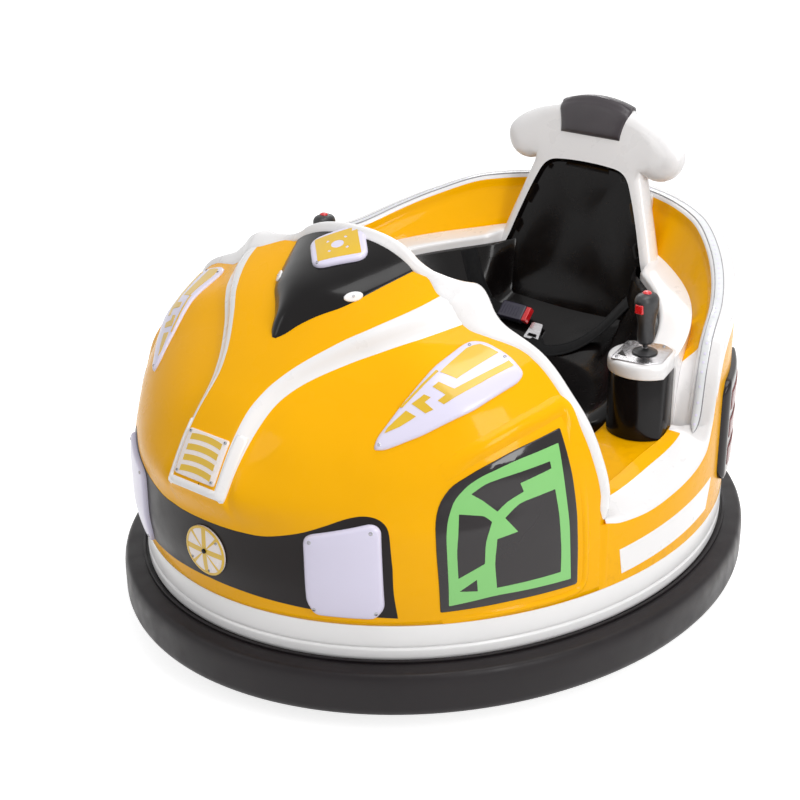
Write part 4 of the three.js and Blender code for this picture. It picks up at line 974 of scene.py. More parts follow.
def cowl_point(v, s):
    """Point on the cowl: v runs from the tip back to the arch, s across from -1 to 1."""
    u = COWL_TIP + (1 - COWL_TIP) * v
    edge = through(CREST_HEIGHT, u) + 0.6 * through(CROWN, u) + 3
    bulge = (1 - abs(s) ** 2.2) ** 0.8
    z = edge + (max(through(COWL_CREST, u), edge) - edge) * bulge
    return Vector((through(COWL_HALF_WIDTH, u) * s, spine_y(u), z))


def cowl_shape():
    rings = []
    for v in steps(0, 1, 56):
        top = [cowl_point(v, math.sin(math.radians(a))) for a in steps(-90, 90, 40)]
        foot = [Vector((p.x, p.y, p.z - 34)) for p in (top[-1], top[0])]
        rings.append(top + foot)
    return sweep(rings)


COWL = cowl_shape()
COWL_SKIN = BVHTree.FromPolygons(COWL.points, COWL.faces)


def turned_square(half, radius, segments):
    a = math.radians(45)
    return [Vector((p.x * math.cos(a) - p.y * math.sin(a), p.x * math.sin(a) + p.y * math.cos(a)))
            for p in oblong(-half, -half, half, half, radius, segments)]


def cowl():
    piece("cowl", COWL, BLACK, "dash_cowl", crease=50)
    place = Place((0, spine_y(COWL_LAMP_AT), 780), (0, -0.2, 1), right=ACROSS)
    plate = laid(turned_square(52, 28, 6), place, COWL_SKIN, 0.4, thickness=8, roll=7, spacing=7)
    piece("cowl_plate", plate, LENS, "cowl_lamp", crease=60)
    marks = [[(-26, -3), (-21, -3), (-21, 3), (-26, 3)], [(21, -3), (26, -3), (26, 3), (21, 3)],
             [(-3, 21), (3, 21), (3, 26), (-3, 26)], [(-3, -26), (3, -26), (3, -21), (-3, -21)]]
    shape = laid(turned_square(40, 3, 3), place, COWL_SKIN, 8.8, holes=[circle(12, 20), *marks], spacing=7,
                 depth=-8)
    piece("cowl_plate_print", shape, PRINT_YELLOW, crease=50)
    screws("cowl_plate_screws", place, [(0, -58), (0, 58)], COWL_SKIN, 7.4, 3)
    side = Place(cowl_point(0.5, 0.95), (0.8, -0.35, 0.5))
    oval = [Vector((p.x * 1.9, p.y)) for p in circle(9, 32)]
    badge = laid(oval, side, COWL_SKIN, 0.3, thickness=2.4, roll=2.4, spacing=4)
    piece("cowl_side_caps", badge.join(badge.mirrored()), WHITE, crease=60)
    dot = turned([(0, 4.2), (1.6, 4.2), (2.4, 3.4), (2.4, 2), (0, 2)], 16)
    dots = dot.moved(standing(side, 0, 0, COWL_SKIN, 0))
    piece("cowl_side_cap_screws", dots.join(dots.mirrored()), SCREW_STEEL)


# ---- Rolled lip of the arch -----------------------------------------------------------------------
LIP_SHARES = (1, 0.93, 0.7, 0.4, 0.12)
LIP_LIFTS = (-1.5, 1.2, 2.8, 4.2, 5.6)
LIP_BACK = ((0.2, 6.4), (0.6, 6.2), (0.9, 4.2), (1, 1), (0.97, -4), (0.8, -9), (0.3, -13), (-0.4, -14))
LIP_REACH = 9


def arch_edge():
    side = [side_point(1, z) for z in (352, *range(380, 641, 20), 655, 670, 684)]
    spine = [spine_point(1, share) for share in (0.94, 0.82, 0.68)]
    cowl_top = [cowl_point(1, share) for share in (0.94, 0.84, 0.72, 0.6, 0.48, 0.36, 0.24, 0.12, 0)]
    corner = [ARCH_TOP + Vector((2, 0, 4)), ARCH_TOP.lerp(spine_point(1, 1), 0.5) + Vector((2, 0, 6)),
              spine_point(1, 1) + Vector((0, 0, 4))]
    return [Vector((p.x, p.z)) for p in side + corner + spine + cowl_top]


def hump(at, middle, width):
    return math.exp(-((at - middle) / width) ** 2)


def lip_heights(edge, out, reach):
    """How far the hood or the cowl stands out from the edge line, at each share of the lip's reach."""
    row = []
    for share in LIP_SHARES:
        start = edge + out * 60 + Vector((0, -reach * share, 0))
        hits = [skin.ray_cast(start, -out, 110)[0] for skin in (HOOD_SKIN, COWL_SKIN)]
        row.append(max(((hit - edge).dot(out) for hit in hits if hit is not None), default=None))
    known = [h for h in row if h is not None]
    return [h if h is not None else (known[-1] if known else 0) for h in row]


def arch_lip():
    """White rim that hugs the hood's edge, wider on the hood and longer behind at the spine's corners."""
    half = spline(arch_edge(), 4, closed=False)
    path = half + [Vector((-p.x, p.y)) for p in reversed(half[:-1])]
    for _ in range(6):
        path = [path[0]] + [(a + b * 2 + c) / 4 for a, b, c in zip(path, path[1:], path[2:])] + [path[-1]]
    spans = []
    for i, p in enumerate(path):
        run = heading(path, i, 2)
        out = Vector((run.y, 0, -run.x))
        edge = Vector((p.x, arch_y(p.y), p.y))
        corner = ease(655, 705, p.y) * ease(170, 235, abs(p.x))
        foot = ease(348, 376, p.y)
        high = ease(640, 690, p.y)
        reach = (LIP_REACH + 27 * corner) * (0.2 + 0.8 * foot)
        tip = 4 + 24 * hump(abs(p.x), 268, 40) * high
        crest = 6 * (1 - ease(90, 180, abs(p.x))) + 9 * hump(abs(p.x), 286, 34) * high
        spans.append((edge, out, reach, tip, crest, foot, lip_heights(edge, out, reach)))
    rings = []
    for i, (edge, out, reach, tip, crest, foot, _) in enumerate(spans):
        near = [spans[min(max(k, 0), len(spans) - 1)][-1] for k in range(i - 3, i + 4)]
        row = [sum(heights) / len(near) for heights in zip(*near)]
        ring = []
        for share, height, lift in zip(LIP_SHARES, row, LIP_LIFTS):
            lift = lift * foot + crest * (1 - share)
            ring.append(edge + out * (height + lift) + Vector((0, -reach * share, 0)))
        for back, lift in LIP_BACK:
            lift = lift * foot + crest if lift > 0 else lift
            ring.append(edge + out * (row[-1] + lift) + Vector((0, (LIP_REACH + tip) * back, 0)))
        rings.append(ring)
    piece("arch_lip", sweep(rings), WHITE, "hood_rim", crease=75)


# ---- Cockpit wall ---------------------------------------------------------------------------------
SPLIT_DEGREES = arch_degrees(HOOD_BASE) + 0.12
RIM_HEIGHT = ((SPLIT_DEGREES, 352), (76, 342), (82, 338), (90, 346), (97, 358), (102, 378), (104.5, 430),
              (106.5, 520), (109, 572), (113, 597), (118, 608), (126, 635), (135, 665), (148, 700),
              (165, 713), (180, 718))
LEDGE_HEIGHT = ((LEDGE_FRONT_DEGREES, 545), (130, 572), (145, 587), (160, 606), (180, 615))
SILL_INNER_HEIGHT = ((SPLIT_DEGREES, 354), (78, 364), (92, 394), (100, SIDE_DECK_Z), (103.3, 400),
                     (106.5, 460))
SILL_END_DEGREES = 104


def fold(degrees):
    return 360 - degrees if degrees > 180 else degrees


def rim_z(degrees):
    return through(RIM_HEIGHT, fold(degrees))


def ledge_z(degrees):
    return through(LEDGE_HEIGHT, fold(degrees))


def inner_wall_z(degrees):
    at = fold(degrees)
    if at < SILL_END_DEGREES:
        return through(SILL_INNER_HEIGHT, at)
    return min(ledge_z(at), rim_z(at) - 60)


WALL_ANGLES = steps(SPLIT_DEGREES, 100, 26) + steps(100, 112, 40)[1:] + steps(112, 180, 44)[1:]
WALL_ROUND = WALL_ANGLES + [360 - a for a in reversed(WALL_ANGLES[:-1])]
WALL_DEPTH = WALL_HALF_WIDTH * (1 - INNER_WALL)


def angles_from(start):
    return [start] + [a for a in WALL_ROUND if fold(a) > start + 0.1] + [360 - start]


def wall_section(a):
    """Section of the cockpit wall: outside, rolled rim, inside. Distances are in from the wall oval."""
    at = fold(a)
    top, inner = rim_z(a), inner_wall_z(a)
    wall = ease(103, 106, at)
    slope = (inner - top) / WALL_DEPTH
    rim = [top + slope * d * (1 - wall) for d in (30, RIM_WIDTH)]
    middle = WALL_DEPTH * 0.8
    knee = (RIM_WIDTH + (middle - RIM_WIDTH) * (1 - wall) + 2 * wall,
            (top + slope * middle) * (1 - wall) + (top - 16 * wall - 14) * wall, 10)
    line = [(0, HOOD_BASE, 0), (0, top - 34, 8), (0, top, 12), (30, rim[0], 6), (RIM_WIDTH, rim[1], 12), knee,
            (WALL_DEPTH, inner, 0)]
    return rounded(line, 8, 5, closed=False)


SILL_PAINT_END = 102.5
RISE_PAINT_END = 105.6
INNER_RISE_PAINT_END = 109.5


def wall_paint(i, j):
    """White on the sill and the rim. A section has six points at each of its corners."""
    at = fold(WALL_ROUND[i])
    if at < SILL_PAINT_END:
        return 1 if 8 <= j < 25 else 0
    if at < (INNER_RISE_PAINT_END if j > 20 else RISE_PAINT_END):
        return 1 if j >= 8 else 0
    return 1 if 4 <= j < 23 else 0


def cockpit_wall():
    rings = []
    for a in WALL_ROUND:
        ring = []
        for p in wall_section(a):
            if p.x <= RIM_WIDTH + 0.01:
                ring.append(plan_inset(p.x, a, p.y))
            else:
                share = (p.x - RIM_WIDTH) / (WALL_DEPTH - RIM_WIDTH)
                ring.append(plan_inset(RIM_WIDTH, a, p.y).lerp(plan(INNER_WALL, a, p.y), share))
        rings.append(ring + [plan(INNER_WALL, a, HOOD_BASE)])
    shape = sweep(rings, paint=wall_paint)
    piece("cockpit_wall", shape, [YELLOW, WHITE], "rear_shell", crease=50)


# Degrees from the seam and height over the skin, round the fairing
SEAM_SECTION = ((-0.9, -0.4), (-0.7, 0.2), (-0.2, 0.5), (0.3, 0.5), (0.8, 0.2), (1, -0.4), (1, -4),
                (-0.9, -4))


def seam_covers():
    """Fairing over the joint between the hood's rear edge and the wall, filled and painted over."""
    rings = []
    for z in steps(HOOD_BASE + 1, 342, 16):
        seam = arch_degrees(z)
        ring = []
        for turn, lift in SEAM_SECTION:
            surface = on_side(seam + turn, z) if turn < 0 else plan(1, seam + turn, z)
            ring.append(surface + Vector((surface.x, surface.y, 0)).normalized() * lift)
        rings.append(ring)
    both_sides("seam_cover", sweep(rings), YELLOW, crease=80)


def side_stripes():
    """White band low on the wall behind each entry, cut off aslant at its front end."""
    points = [plan(1, a, z) for a in steps(50, 130, 80) for z in (200, 300, 400, 500)]
    faces = [(i * 4 + j, i * 4 + 4 + j, i * 4 + 5 + j, i * 4 + 1 + j) for i in range(80) for j in range(3)]
    place = Place((WALL_HALF_WIDTH, 0, 265), ACROSS)
    outline = [(-150, -38), (152, -26), (176, 34), (-158, 14)]
    shape = laid(outline, place, BVHTree.FromPolygons(points, faces), 0.5, spacing=12)
    both_sides("side_stripe", shape, WHITE, crease=60)


def tail_lamps():
    rings = []
    start, end = 110, 131
    for a in steps(start, end, 40):
        taper = 26 * (1 - min(1, (a - start) / 2.4, (end - a) / 2.4)) ** 2
        low, high = 262 + taper, 478 - taper
        proud = 13 * min(1, max(0.03, min(a - start, end - a) / 1.6)) ** 0.5
        section = rounded([(1, low, 0), (-proud, low), (-proud, high), (1, high, 0)], 12, 5, closed=False)
        rings.append([plan_inset(p.x, a, p.y) for p in section])
    both_sides("tail_lens", sweep(rings), TAIL_LENS, "tail_lamp", crease=50)
    lights = Shape()
    for low in (290, 350, 410):
        rings = []
        for a in steps(113, 128, 24):
            proud = 13.2 + 2.4 * min(1, min(a - 112.9, 128.1 - a) / 1.2) ** 0.5
            outline = [(-12, low), (-proud, low), (-proud, low + 40), (-12, low + 40)]
            section = rounded(outline, 3, 3, closed=False)
            rings.append([plan_inset(p.x, a, p.y) for p in section])
        lights.join(sweep(rings))
    both_sides("tail_lights", lights, TAIL_RED, crease=50)


STRIP_START_DEGREES = 103.3
STRIP_INSET = 25
STRIP_HALF_WIDTH = 9.5
STRIP_SECTION = ((-1, -1), (-1, 1.4), (-0.97, 1.9), (-0.86, 1.9), (-0.8, 1.2), (-0.6, 2.3), (0, 2.7),
                 (0.6, 2.3), (0.8, 1.2), (0.86, 1.9), (0.97, 1.9), (1, 1.4), (1, -1))
LIGHT_PITCH = 16


def light_strip():
    """Clear strip let into the rim, with a round tip at each end and a row of small lights under it."""
    angles = [a for a in WALL_ROUND if fold(a) >= STRIP_START_DEGREES]

    def rim_point(a):
        return plan_inset(STRIP_INSET, a, rim_z(a))

    rings = []
    dots = Shape()
    travelled = 0
    last = rim_point(angles[0])
    for a in angles:
        middle = rim_point(a)
        run = (rim_point(a + 0.5) - rim_point(a - 0.5)).normalized()
        across = (plan_inset(STRIP_INSET + 1, a, 0) - plan_inset(STRIP_INSET, a, 0)).normalized()
        up = across.cross(run).normalized()
        up = up if up.z > 0 else -up
        from_end = min(1, min(len(rings), len(angles) - 1 - len(rings)) / 5)
        full = STRIP_HALF_WIDTH * math.sqrt(max(0.02, 1 - (1 - from_end) ** 2))
        rings.append([middle + across * (STRIP_HALF_WIDTH + full * w) + up * h for w, h in STRIP_SECTION])
        travelled += (middle - last).length
        last = middle
        if travelled > LIGHT_PITCH:
            travelled = 0
            basis = Matrix((run, across, up)).transposed().to_4x4()
            chip = prism(oblong(-2.5, -2.5, 2.5, 2.5, 0.8, 2), 0, 1.4, 0.5, 2)
            dots.join(chip, Matrix.Translation(middle + across * STRIP_HALF_WIDTH + up * 1.6) @ basis)
    outline = sweep(rings, paint=lambda i, j: 1 if j <= 3 or 8 <= j <= 11 else 0)
    piece("rim_strip", outline, [CLEAR, STRIP_EDGE], "rim_light_strip", crease=60)
    piece("rim_strip_lights", dots, LENS, crease=50)


# ---- Cockpit floor, deck and ledge ----------------------------------------------------------------
def half_angle(share, front_y):
    return math.degrees(math.acos(-front_y / (WALL_HALF_LENGTH * share)))


def ledge():
    across = OUTER_INSIDE - LEDGE_INNER
    width = across * WALL_HALF_WIDTH
    rings = []
    for a in angles_from(LEDGE_FRONT_DEGREES):
        z = ledge_z(a)
        outline = [(width, DECK_Z - 2), (width, z, 1), (0, z - 4, 9), (0, DECK_Z - 2)]
        line = rounded(outline, 4, 5, closed=False)
        ring = [plan(LEDGE_INNER + across * p.x / width, a, p.y) for p in line]
        for p in ring:
            behind = max(p.y, back_plane_y(p.z) + 4)
            if p.y > 0:
                p.y += (behind - p.y) * (1 - ease(188, 206, abs(p.x)))
        rings.append(ring)
    piece("armrest_ledge", sweep(rings), WHITE, crease=60)


SIDE_DECK_INNER = 0.6


def side_decks():
    start = half_angle(INNER_WALL, DECK_FRONT_Y) + 0.3
    across = OUTER_INSIDE - SIDE_DECK_INNER
    width, low = across * WALL_HALF_WIDTH, DECK_Z - 2
    rings = []
    for a in steps(start, LEDGE_FRONT_DEGREES + 1.9, 40):
        top = max(inner_wall_z(min(a, SILL_END_DEGREES - 1)) - 3, DECK_Z + 1)
        line = rounded([(width, low, 0), (width, top, 0), (18, top, 14), (0, min(top, DECK_Z + 4), 4),
                        (0, low, 0)], 6, 5, closed=False)
        rings.append([plan(SIDE_DECK_INNER + across * p.x / width, a, p.y) for p in line])
    both_sides("side_deck", sweep(rings), YELLOW, slot="cockpit_gelcoat", crease=60)


def cockpit_tub():
    half = half_angle(OUTER_INSIDE, DECK_FRONT_Y)
    outline = [Vector(plan(OUTER_INSIDE, a, 0).xy) for a in steps(half, 360 - half, 90)]
    deck = prism(outline, DECK_Z - 8, DECK_Z, 2)
    piece("cockpit_deck", deck, YELLOW, "cockpit_tub", slot="cockpit_gelcoat", crease=50)
    whole = [Vector(plan_inset(32, a, 0).xy) for a in steps(0, 360, 120)[:-1]]
    front = sorted((p for p in whole if p.y < DECK_FRONT_Y + 8), key=lambda p: math.atan2(p.x, -p.y))
    floor = prism(front, FLOOR_Z - 8, FLOOR_Z, 1)
    piece("footwell_floor", floor, LAMINATE, crease=50)
    reach = plan(INNER_WALL, half_angle(INNER_WALL, DECK_FRONT_Y), 0).x - 4
    board = prism(oblong(-reach, FLOOR_Z, reach, DECK_Z - 1, 2, 2), 0, 8, 1)
    board = board.moved(Matrix.Translation((0, DECK_FRONT_Y + 8, 0)) @ UPRIGHT)
    piece("seat_bulkhead", board, YELLOW, slot="cockpit_gelcoat", crease=50)
    corners = [(-230, -480), (230, -480), (270, -330), (270, -175), (-270, -175), (-270, -330)]
    outline = rounded(corners, 30, 5)
    mat = prism(outline, FLOOR_Z, FLOOR_Z + 4, 1.2)
    for y in steps(-450, -200, 16):
        mat.join(prism(oblong(-210, y - 3, 210, y + 3, 2, 2), FLOOR_Z + 4, FLOOR_Z + 6, 0.9, 2))
    piece("foot_mat", mat, FLOOR_MAT, crease=50)


# ---- Seat -----------------------------------------------------------------------------------------
PAN_RISE = 22
BOLSTER_RISE = 150
SEAT_LINE = ((0, PAN_RISE), (0.36, PAN_RISE), (0.46, 23), (0.53, 29), (0.575, 48), (0.62, 84), (0.66, 122),
             (0.7, 176), (0.722, 214))
SEAT_OUTER = LEDGE_INNER - CLEARANCE
SEAT_FOOT = DECK_Z + 0.3


def seat_height(share, a):
    """Height of the moulded seat: a pan with bolsters that climb to the ledge round the back."""
    climb = ease(104, 117, fold(a))
    top = ledge_z(max(fold(a), 108)) - 24 - SEAT_FOOT
    rise = through(SEAT_LINE, share)
    stretch = (top - BOLSTER_RISE) / (SEAT_LINE[-1][1] - BOLSTER_RISE)
    full = rise if rise < BOLSTER_RISE else BOLSTER_RISE + (rise - BOLSTER_RISE) * stretch
    pan = min(rise, PAN_RISE)
    return SEAT_FOOT + pan + (min(full, top) - pan) * climb


def seat_shell():
    start = half_angle(PAN_SHARE, PAN_FRONT_Y)
    rings = []
    for a in steps(start, 360 - start, 150):
        back = ease(103, 116, fold(a))
        rim = plan(PAN_SHARE + (SEAT_OUTER - PAN_SHARE) * back, a, 0)
        inner = Vector((rim.x * 0.02, PAN_FRONT_Y, 0))
        ring = [Vector((rim.x, rim.y, SEAT_FOOT))]
        for t in steps(0, 1, 44):
            p = rim.lerp(inner, t ** 1.15)
            share = math.hypot(p.x / WALL_HALF_WIDTH, p.y / WALL_HALF_LENGTH)
            z = seat_height(min(share, SEAT_OUTER), a)
            z -= 12 * (1 - ease(0, 14, (rim - p).length)) * (1 - back)
            z -= 10 * (1 - ease(0, 26, p.y - PAN_FRONT_Y))
            # The bowl flows into the recess of the rest instead of passing in front of it.
            merge = (1 - ease(150, 190, abs(p.x))) * ease(400, 470, z)
            behind = max(p.y, back_plane_y(z) - 4)
            ring.append(Vector((p.x, p.y + (behind - p.y) * merge, z)))
        rings.append(ring + [Vector((inner.x, inner.y, SEAT_FOOT))])
    shape = sweep(rings, open_rings=True)
    piece("seat_shell", shape, SEAT_BLACK, "seat_base", crease=55)


BACK_BASE_Z = 400
BACK_TURN = (Matrix.Translation((0, BACK_FOOT_Y, BACK_BASE_Z))
             @ Matrix.Rotation(-math.radians(BACK_LEAN_DEGREES), 4, "X") @ UPRIGHT)


def bezier(start, *spans, per_span=10):
    """Outline of cubic curves: each span is two handles and an end."""
    out = [Vector(start)]
    for span in spans:
        at = out[-1]
        first, second, end = (Vector(p) for p in span)
        for t in steps(0, 1, per_span)[1:]:
            s = 1 - t
            out.append(at * s ** 3 + first * 3 * s * s * t + second * 3 * s * t * t + end * t ** 3)
    return out


BACK_OUTLINE = mirrored_outline(bezier(
    (262, 10), ((240, 110), (214, 160), (198, 212)), ((182, 262), (160, 320), (143, 372)),
    ((180, 352), (229, 378), (229, 420)), ((229, 456), (160, 484), (92, 502)),
    ((60, 520), (30, 526), (0, 526))))
INSERT_OUTLINE = mirrored_outline(bezier(
    (236, 12), ((222, 80), (196, 140), (176, 190)), ((160, 240), (140, 300), (118, 346)),
    ((108, 366), (96, 374), (76, 377)), ((50, 380), (24, 381), (0, 381))))


def back_plane_y(z):
    """Fore-and-aft place of the leaning rest's middle plane at a height."""
    return BACK_FOOT_Y + (z - BACK_BASE_Z) * math.tan(math.radians(BACK_LEAN_DEGREES))


def back_depth(p, distance):
    """Half thickness of the rest: a rounded edge all round, and full round ears."""
    ear = ease(110, 175, abs(p.x)) * ease(372, 400, p.y)
    return (BACK_THICKNESS / 2 + ear) * roll_profile(distance, 20 + 16 * ear)


def seat_back():
    rim, insert = resampled(BACK_OUTLINE, 9), resampled(INSERT_OUTLINE, 8)
    recess_foot = [p - n * 7 for p, n in zip(insert, outline_normals(insert))]
    points, edges = joined_loops((rim, insert, recess_foot))
    for q in inset_points(rim, (1, 3, 7, 13, 20, 28, 36)):
        if not inside(q, insert) and edge_distance(q, insert) > 3:
            points.append(q)
    for i in range(-22, 23):
        for j in range(0, 45):
            q = Vector((i * 12 + 6 * (j % 2), j * 12))
            if inside(q, rim) and edge_distance(q, rim) > 40 and edge_distance(q, insert) > 10:
                points.append(q)
    out = geometry.delaunay_2d_cdt(points, edges, [], 1, 1e-4)
    flat, faces = out[0], [tuple(f) for f in out[2]]
    front, back = [], []
    for p in flat:
        half = back_depth(p, edge_distance(p, rim))
        deep = edge_distance(p, insert)
        into = 9 * ease(0, 7, deep) + 10 * ease(0, 130, deep) if inside(p, insert) and deep > 0.5 else 0
        front.append(Vector((p.x, p.y, half - into)))
        back.append(Vector((p.x, p.y, -half)))
    slots = []
    for face in faces:
        middle = sum((flat[i] for i in face), Vector((0, 0))) / 3
        slots.append(1 if inside(middle, insert) else 0)
    shape = closed_plate(front, back, faces, slots).moved(BACK_TURN)
    rings = []
    for z, shrink in ((562, 0), (700, 0), (708, 2), (712, 8)):
        near, far = back_plane_y(z) + 8, WALL_HALF_LENGTH - 26
        corners = rounded([(-150, near), (-120, far), (120, far), (150, near)], 10, 4)
        rings.append([Vector((p.x * (1 - shrink / 150), p.y, z)) for p in corners])
    shape.join(sweep(rings))
    piece("seat_frame", shape, [WHITE, SEAT_BLACK], "seat_back", crease=50)


def headrest():
    """Leather pad that wraps over the top of the rest, crowned between its seams."""
    path = spline([(438, 25.5), (462, 26), (486, 25.5), (504, 23), (518, 15), (525, 2), (522, -14),
                   (508, -25), (490, -28)], 5, closed=False)
    rings = []
    for i, p in enumerate(path):
        run = heading(path, i)
        out = Vector((run.y, -run.x))
        out = -out if out.y < 0 and i < len(path) / 2 else out
        t = i / (len(path) - 1)
        half = 77 + 13 * ease(0, 0.45, t) - 12 * ease(0.55, 0.85, t)
        across, under = [], []
        for s in steps(-1, 1, 36):
            edges = max(0, 1 - abs(s) ** 8) ** 0.6 * max(0, 1 - abs(2 * t - 1) ** 16) ** 0.6
            seam = 1.4 * hump(t, 0.42, 0.014) + 1.1 * hump(abs(s), 0.9, 0.02)
            thick = (6 + 3 * (1 - s * s) * ease(0.1, 0.5, t) - seam) * edges
            fall = 17 * (abs(s) * half / 92) ** 2 * ease(0.05, 0.45, t)
            across.append(Vector((half * s, p.x + out.x * thick - fall, p.y + out.y * thick)))
            under.append(Vector((half * s, p.x - out.x * 2 - fall, p.y - out.y * 2)))
        rings.append(across + under[::-1])
    pad = piece("head_pad", sweep(rings).moved(BACK_TURN), LEATHER, "headrest_pad", crease=80)


# ---- Joysticks ------------------------------------------------------------------------------------
POD_REACH = math.sqrt(1 - (POD_Y / (WALL_HALF_LENGTH * INNER_WALL)) ** 2)
POD_X = WALL_HALF_WIDTH * INNER_WALL * POD_REACH - (POD_RADIUS - 16) - 4
PLATE_TOP = POD_TOP + 3
POD_TURN = Matrix.Translation((POD_X, POD_Y, 0)) @ Matrix.Rotation(math.radians(POD_TURN_DEGREES), 4, "Z")


def pod_outline(radius, flat):
    half = math.acos(flat / radius)
    return [Vector((radius * math.cos(a), radius * math.sin(a))) for a in steps(half, math.tau - half, 64)]


def joystick_pods():
    flat = POD_RADIUS - 16
    body = prism(pod_outline(POD_RADIUS - 1, flat), SIDE_DECK_Z - 3, 524, 1, 2)
    both_sides("pod_body", body.moved(POD_TURN), BLACK, "joystick_pod", crease=50)
    rings = []
    for grow, z in ((-1, 520), (1.2, 521), (2, 524), (2, 538), (0.8, 544), (-1.6, 547), (-5, POD_TOP)):
        rings.append([Vector((*p, z)) for p in pod_outline(POD_RADIUS + grow, flat + min(grow, 0.5))])
    both_sides("pod_cap", sweep(rings).moved(POD_TURN), WHITE, crease=60)
    outline = rounded([(-52, -52), (-52, 52), (20, 58), (46, 36), (46, -36), (20, -58)], 6, 4)
    plate = prism(outline, POD_TOP + 0.2, PLATE_TOP, 0.8)
    both_sides("stick_plate", plate.moved(POD_TURN), STEEL, "joystick_plate")
    heads = Shape()
    for x, y in ((-43, -43), (-43, 43), (24, 47), (24, -47)):
        heads.join(screw(POD_TURN @ Matrix.Translation((x, y, PLATE_TOP)) @ Matrix.Rotation(x, 4, "Z"), 3.4))
    both_sides("stick_plate_screws", heads, SCREW_STEEL)
    mark = prism([Vector(p) for p in ((-45, -27), (-26, -34), (-44, -4))], PLATE_TOP, PLATE_TOP + 0.6, 0.2, 1)
    both_sides("stick_plate_mark", mark.moved(POD_TURN), BLACK)


def joysticks():
    centre = Matrix.Translation((POD_X, POD_Y, PLATE_TOP + 0.6))
    boot = turned([(0, 0), (24, 0), (25, 1.5), (24, 3.2), (21, 3.6), (19.5, 5.4), (16, 5.6), (14.5, 7.4),
                   (10, 7.8), (7, 10), (5.2, 10.4), (5.2, 22), (0, 22)], 40)
    both_sides("stick_boot", boot.moved(centre), GRIP, "joystick", crease=50)
    shaft = turned([(0, 9), (6, 9), (6, 11), (4.6, 11.5), (4.6, 24), (0, 24)], 24)
    both_sides("stick_shaft", shaft.moved(centre), STEEL)
    profile = ((18, 6), (20, 14), (26, 17), (36, 18), (48, 17.5), (60, 18), (72, 20), (84, 23), (96, 25),
               (106, 25), (114, 22.5), (119, 17), (STICK_HEIGHT, 6))
    rings = []
    for z in steps(18, STICK_HEIGHT, 52):
        radius = through(profile, z)
        lean = 4 * ease(60, 122, z)
        ring = []
        for k in range(36):
            a = math.tau * k / 36
            oval = radius * (1 + 0.14 * math.cos(2 * a) * ease(30, 60, z))
            ridge = 0.8 * max(0, math.cos(z * 0.9)) * ease(0.2, 0.8, math.sin(a)) * ease(40, 50, z) * (z < 84)
            ring.append(Vector((oval * math.sin(a) * 0.96, ridge - oval * math.cos(a) * 0.98 - lean, z)))
        rings.append(ring)
    both_sides("stick_grip", sweep(rings).moved(centre), GRIP, crease=60)
    trigger = prism(oblong(-8.5, -9, 8.5, 9, 2, 3), 0, 14, 2)
    trigger = trigger.moved(centre @ Matrix.Translation((0, -18, 95)) @ UPRIGHT)
    both_sides("stick_trigger", trigger, RED, "joystick_trigger", crease=50)
    button = turned([(0, 6), (5, 6), (8, 4.6), (9, 2), (9, -2), (0, -2)], 32)
    button = button.moved(centre @ Matrix.Translation((0, -4, STICK_HEIGHT - 3)))
    both_sides("stick_button", button, RED, crease=50)


# ---- Seat belt ------------------------------------------------------------------------------------
def on_seat(x, y, lift):
    share = math.hypot(x / WALL_HALF_WIDTH, y / WALL_HALF_LENGTH)
    a = degrees_of(Vector((x, y, 0))) % 360
    return Vector((x, y, seat_height(share, a) + lift))


def belt_strip(points, width):
    """Flat webbing along points, with a selvedge line near each edge."""
    path = spline(points, 6, closed=False)
    half, t = width / 2, 1.1
    section = [(-half, 0), (-half + 1, t), (-half + 4, t), (-half + 5, t * 0.6), (-half + 6, t),
               (half - 6, t), (half - 5, t * 0.6), (half - 4, t), (half - 1, t), (half, 0), (half - 1, -t),
               (-half + 1, -t)]
    rings = []
    for i, p in enumerate(path):
        run = heading(path, i)
        side = run.cross(Vector((0, -0.5, 0.86))).normalized()
        up = side.cross(run)
        rings.append([p + side * w + up * h for w, h in section])
    return sweep(rings)


def seat_belt():
    slope = Matrix.Rotation(math.radians(46), 4, "X")
    lo, hi = box_mm("seat_belt_buckle")
    buckle_at = Vector((-95, (lo.y + hi.y) / 2 - 3, (lo.z + hi.z) / 2 - 2))
    place = Matrix.Translation(buckle_at) @ slope
    body = prism(oblong(-39, -20, 27, 20, 5, 4), -7, 11, 4)
    piece("belt_buckle", body.moved(place), DARK_PLASTIC, "seat_belt_buckle")
    ribs = Shape()
    for x in steps(-30, 10, 5):
        ribs.join(prism(oblong(x - 1.5, -12, x + 1.5, 12, 1, 2), 10, 12.2, 0.8, 2), place)
    piece("belt_buckle_ribs", ribs, DARK_PLASTIC)
    button = prism(oblong(27, -18, 40, 18, 2.5, 3), -5, 10, 2.5)
    piece("belt_button", button.moved(place), RED)
    lo, hi = box_mm("seat_belt_tongue")
    tongue_at = Vector((-34, (lo.y + hi.y) / 2, (lo.z + hi.z) / 2 + 2))
    points, faces, _ = filled(rounded([(-20, -22), (-14, 18), (14, 18), (20, -22)], 4, 4),
                              [rounded([(-13, -17), (-11, -9), (11, -9), (13, -17)], 2, 3)], 5)
    top, low = ([Vector((p.x, p.y, z)) for p in points] for z in (1.5, -1.5))
    tongue = closed_plate(top, low, faces).moved(Matrix.Translation(tongue_at) @ slope)
    piece("belt_tongue", tongue, STEEL, "seat_belt_tongue")
    straps = belt_strip([buckle_at + Vector((-36, 2, 2)), buckle_at + Vector((-70, 6, -2)), on_seat(-190, 372,
                                                                                                    5),
                         on_seat(-230, 384, 5)], 38)
    straps.join(belt_strip([tongue_at + Vector((4, -12, -12)), on_seat(10, 345, 4), on_seat(70, 362, 3),
                            on_seat(130, 380, 3), on_seat(196, 392, 3)], 34))
    piece("belt_webbing", straps, WEBBING, crease=70)


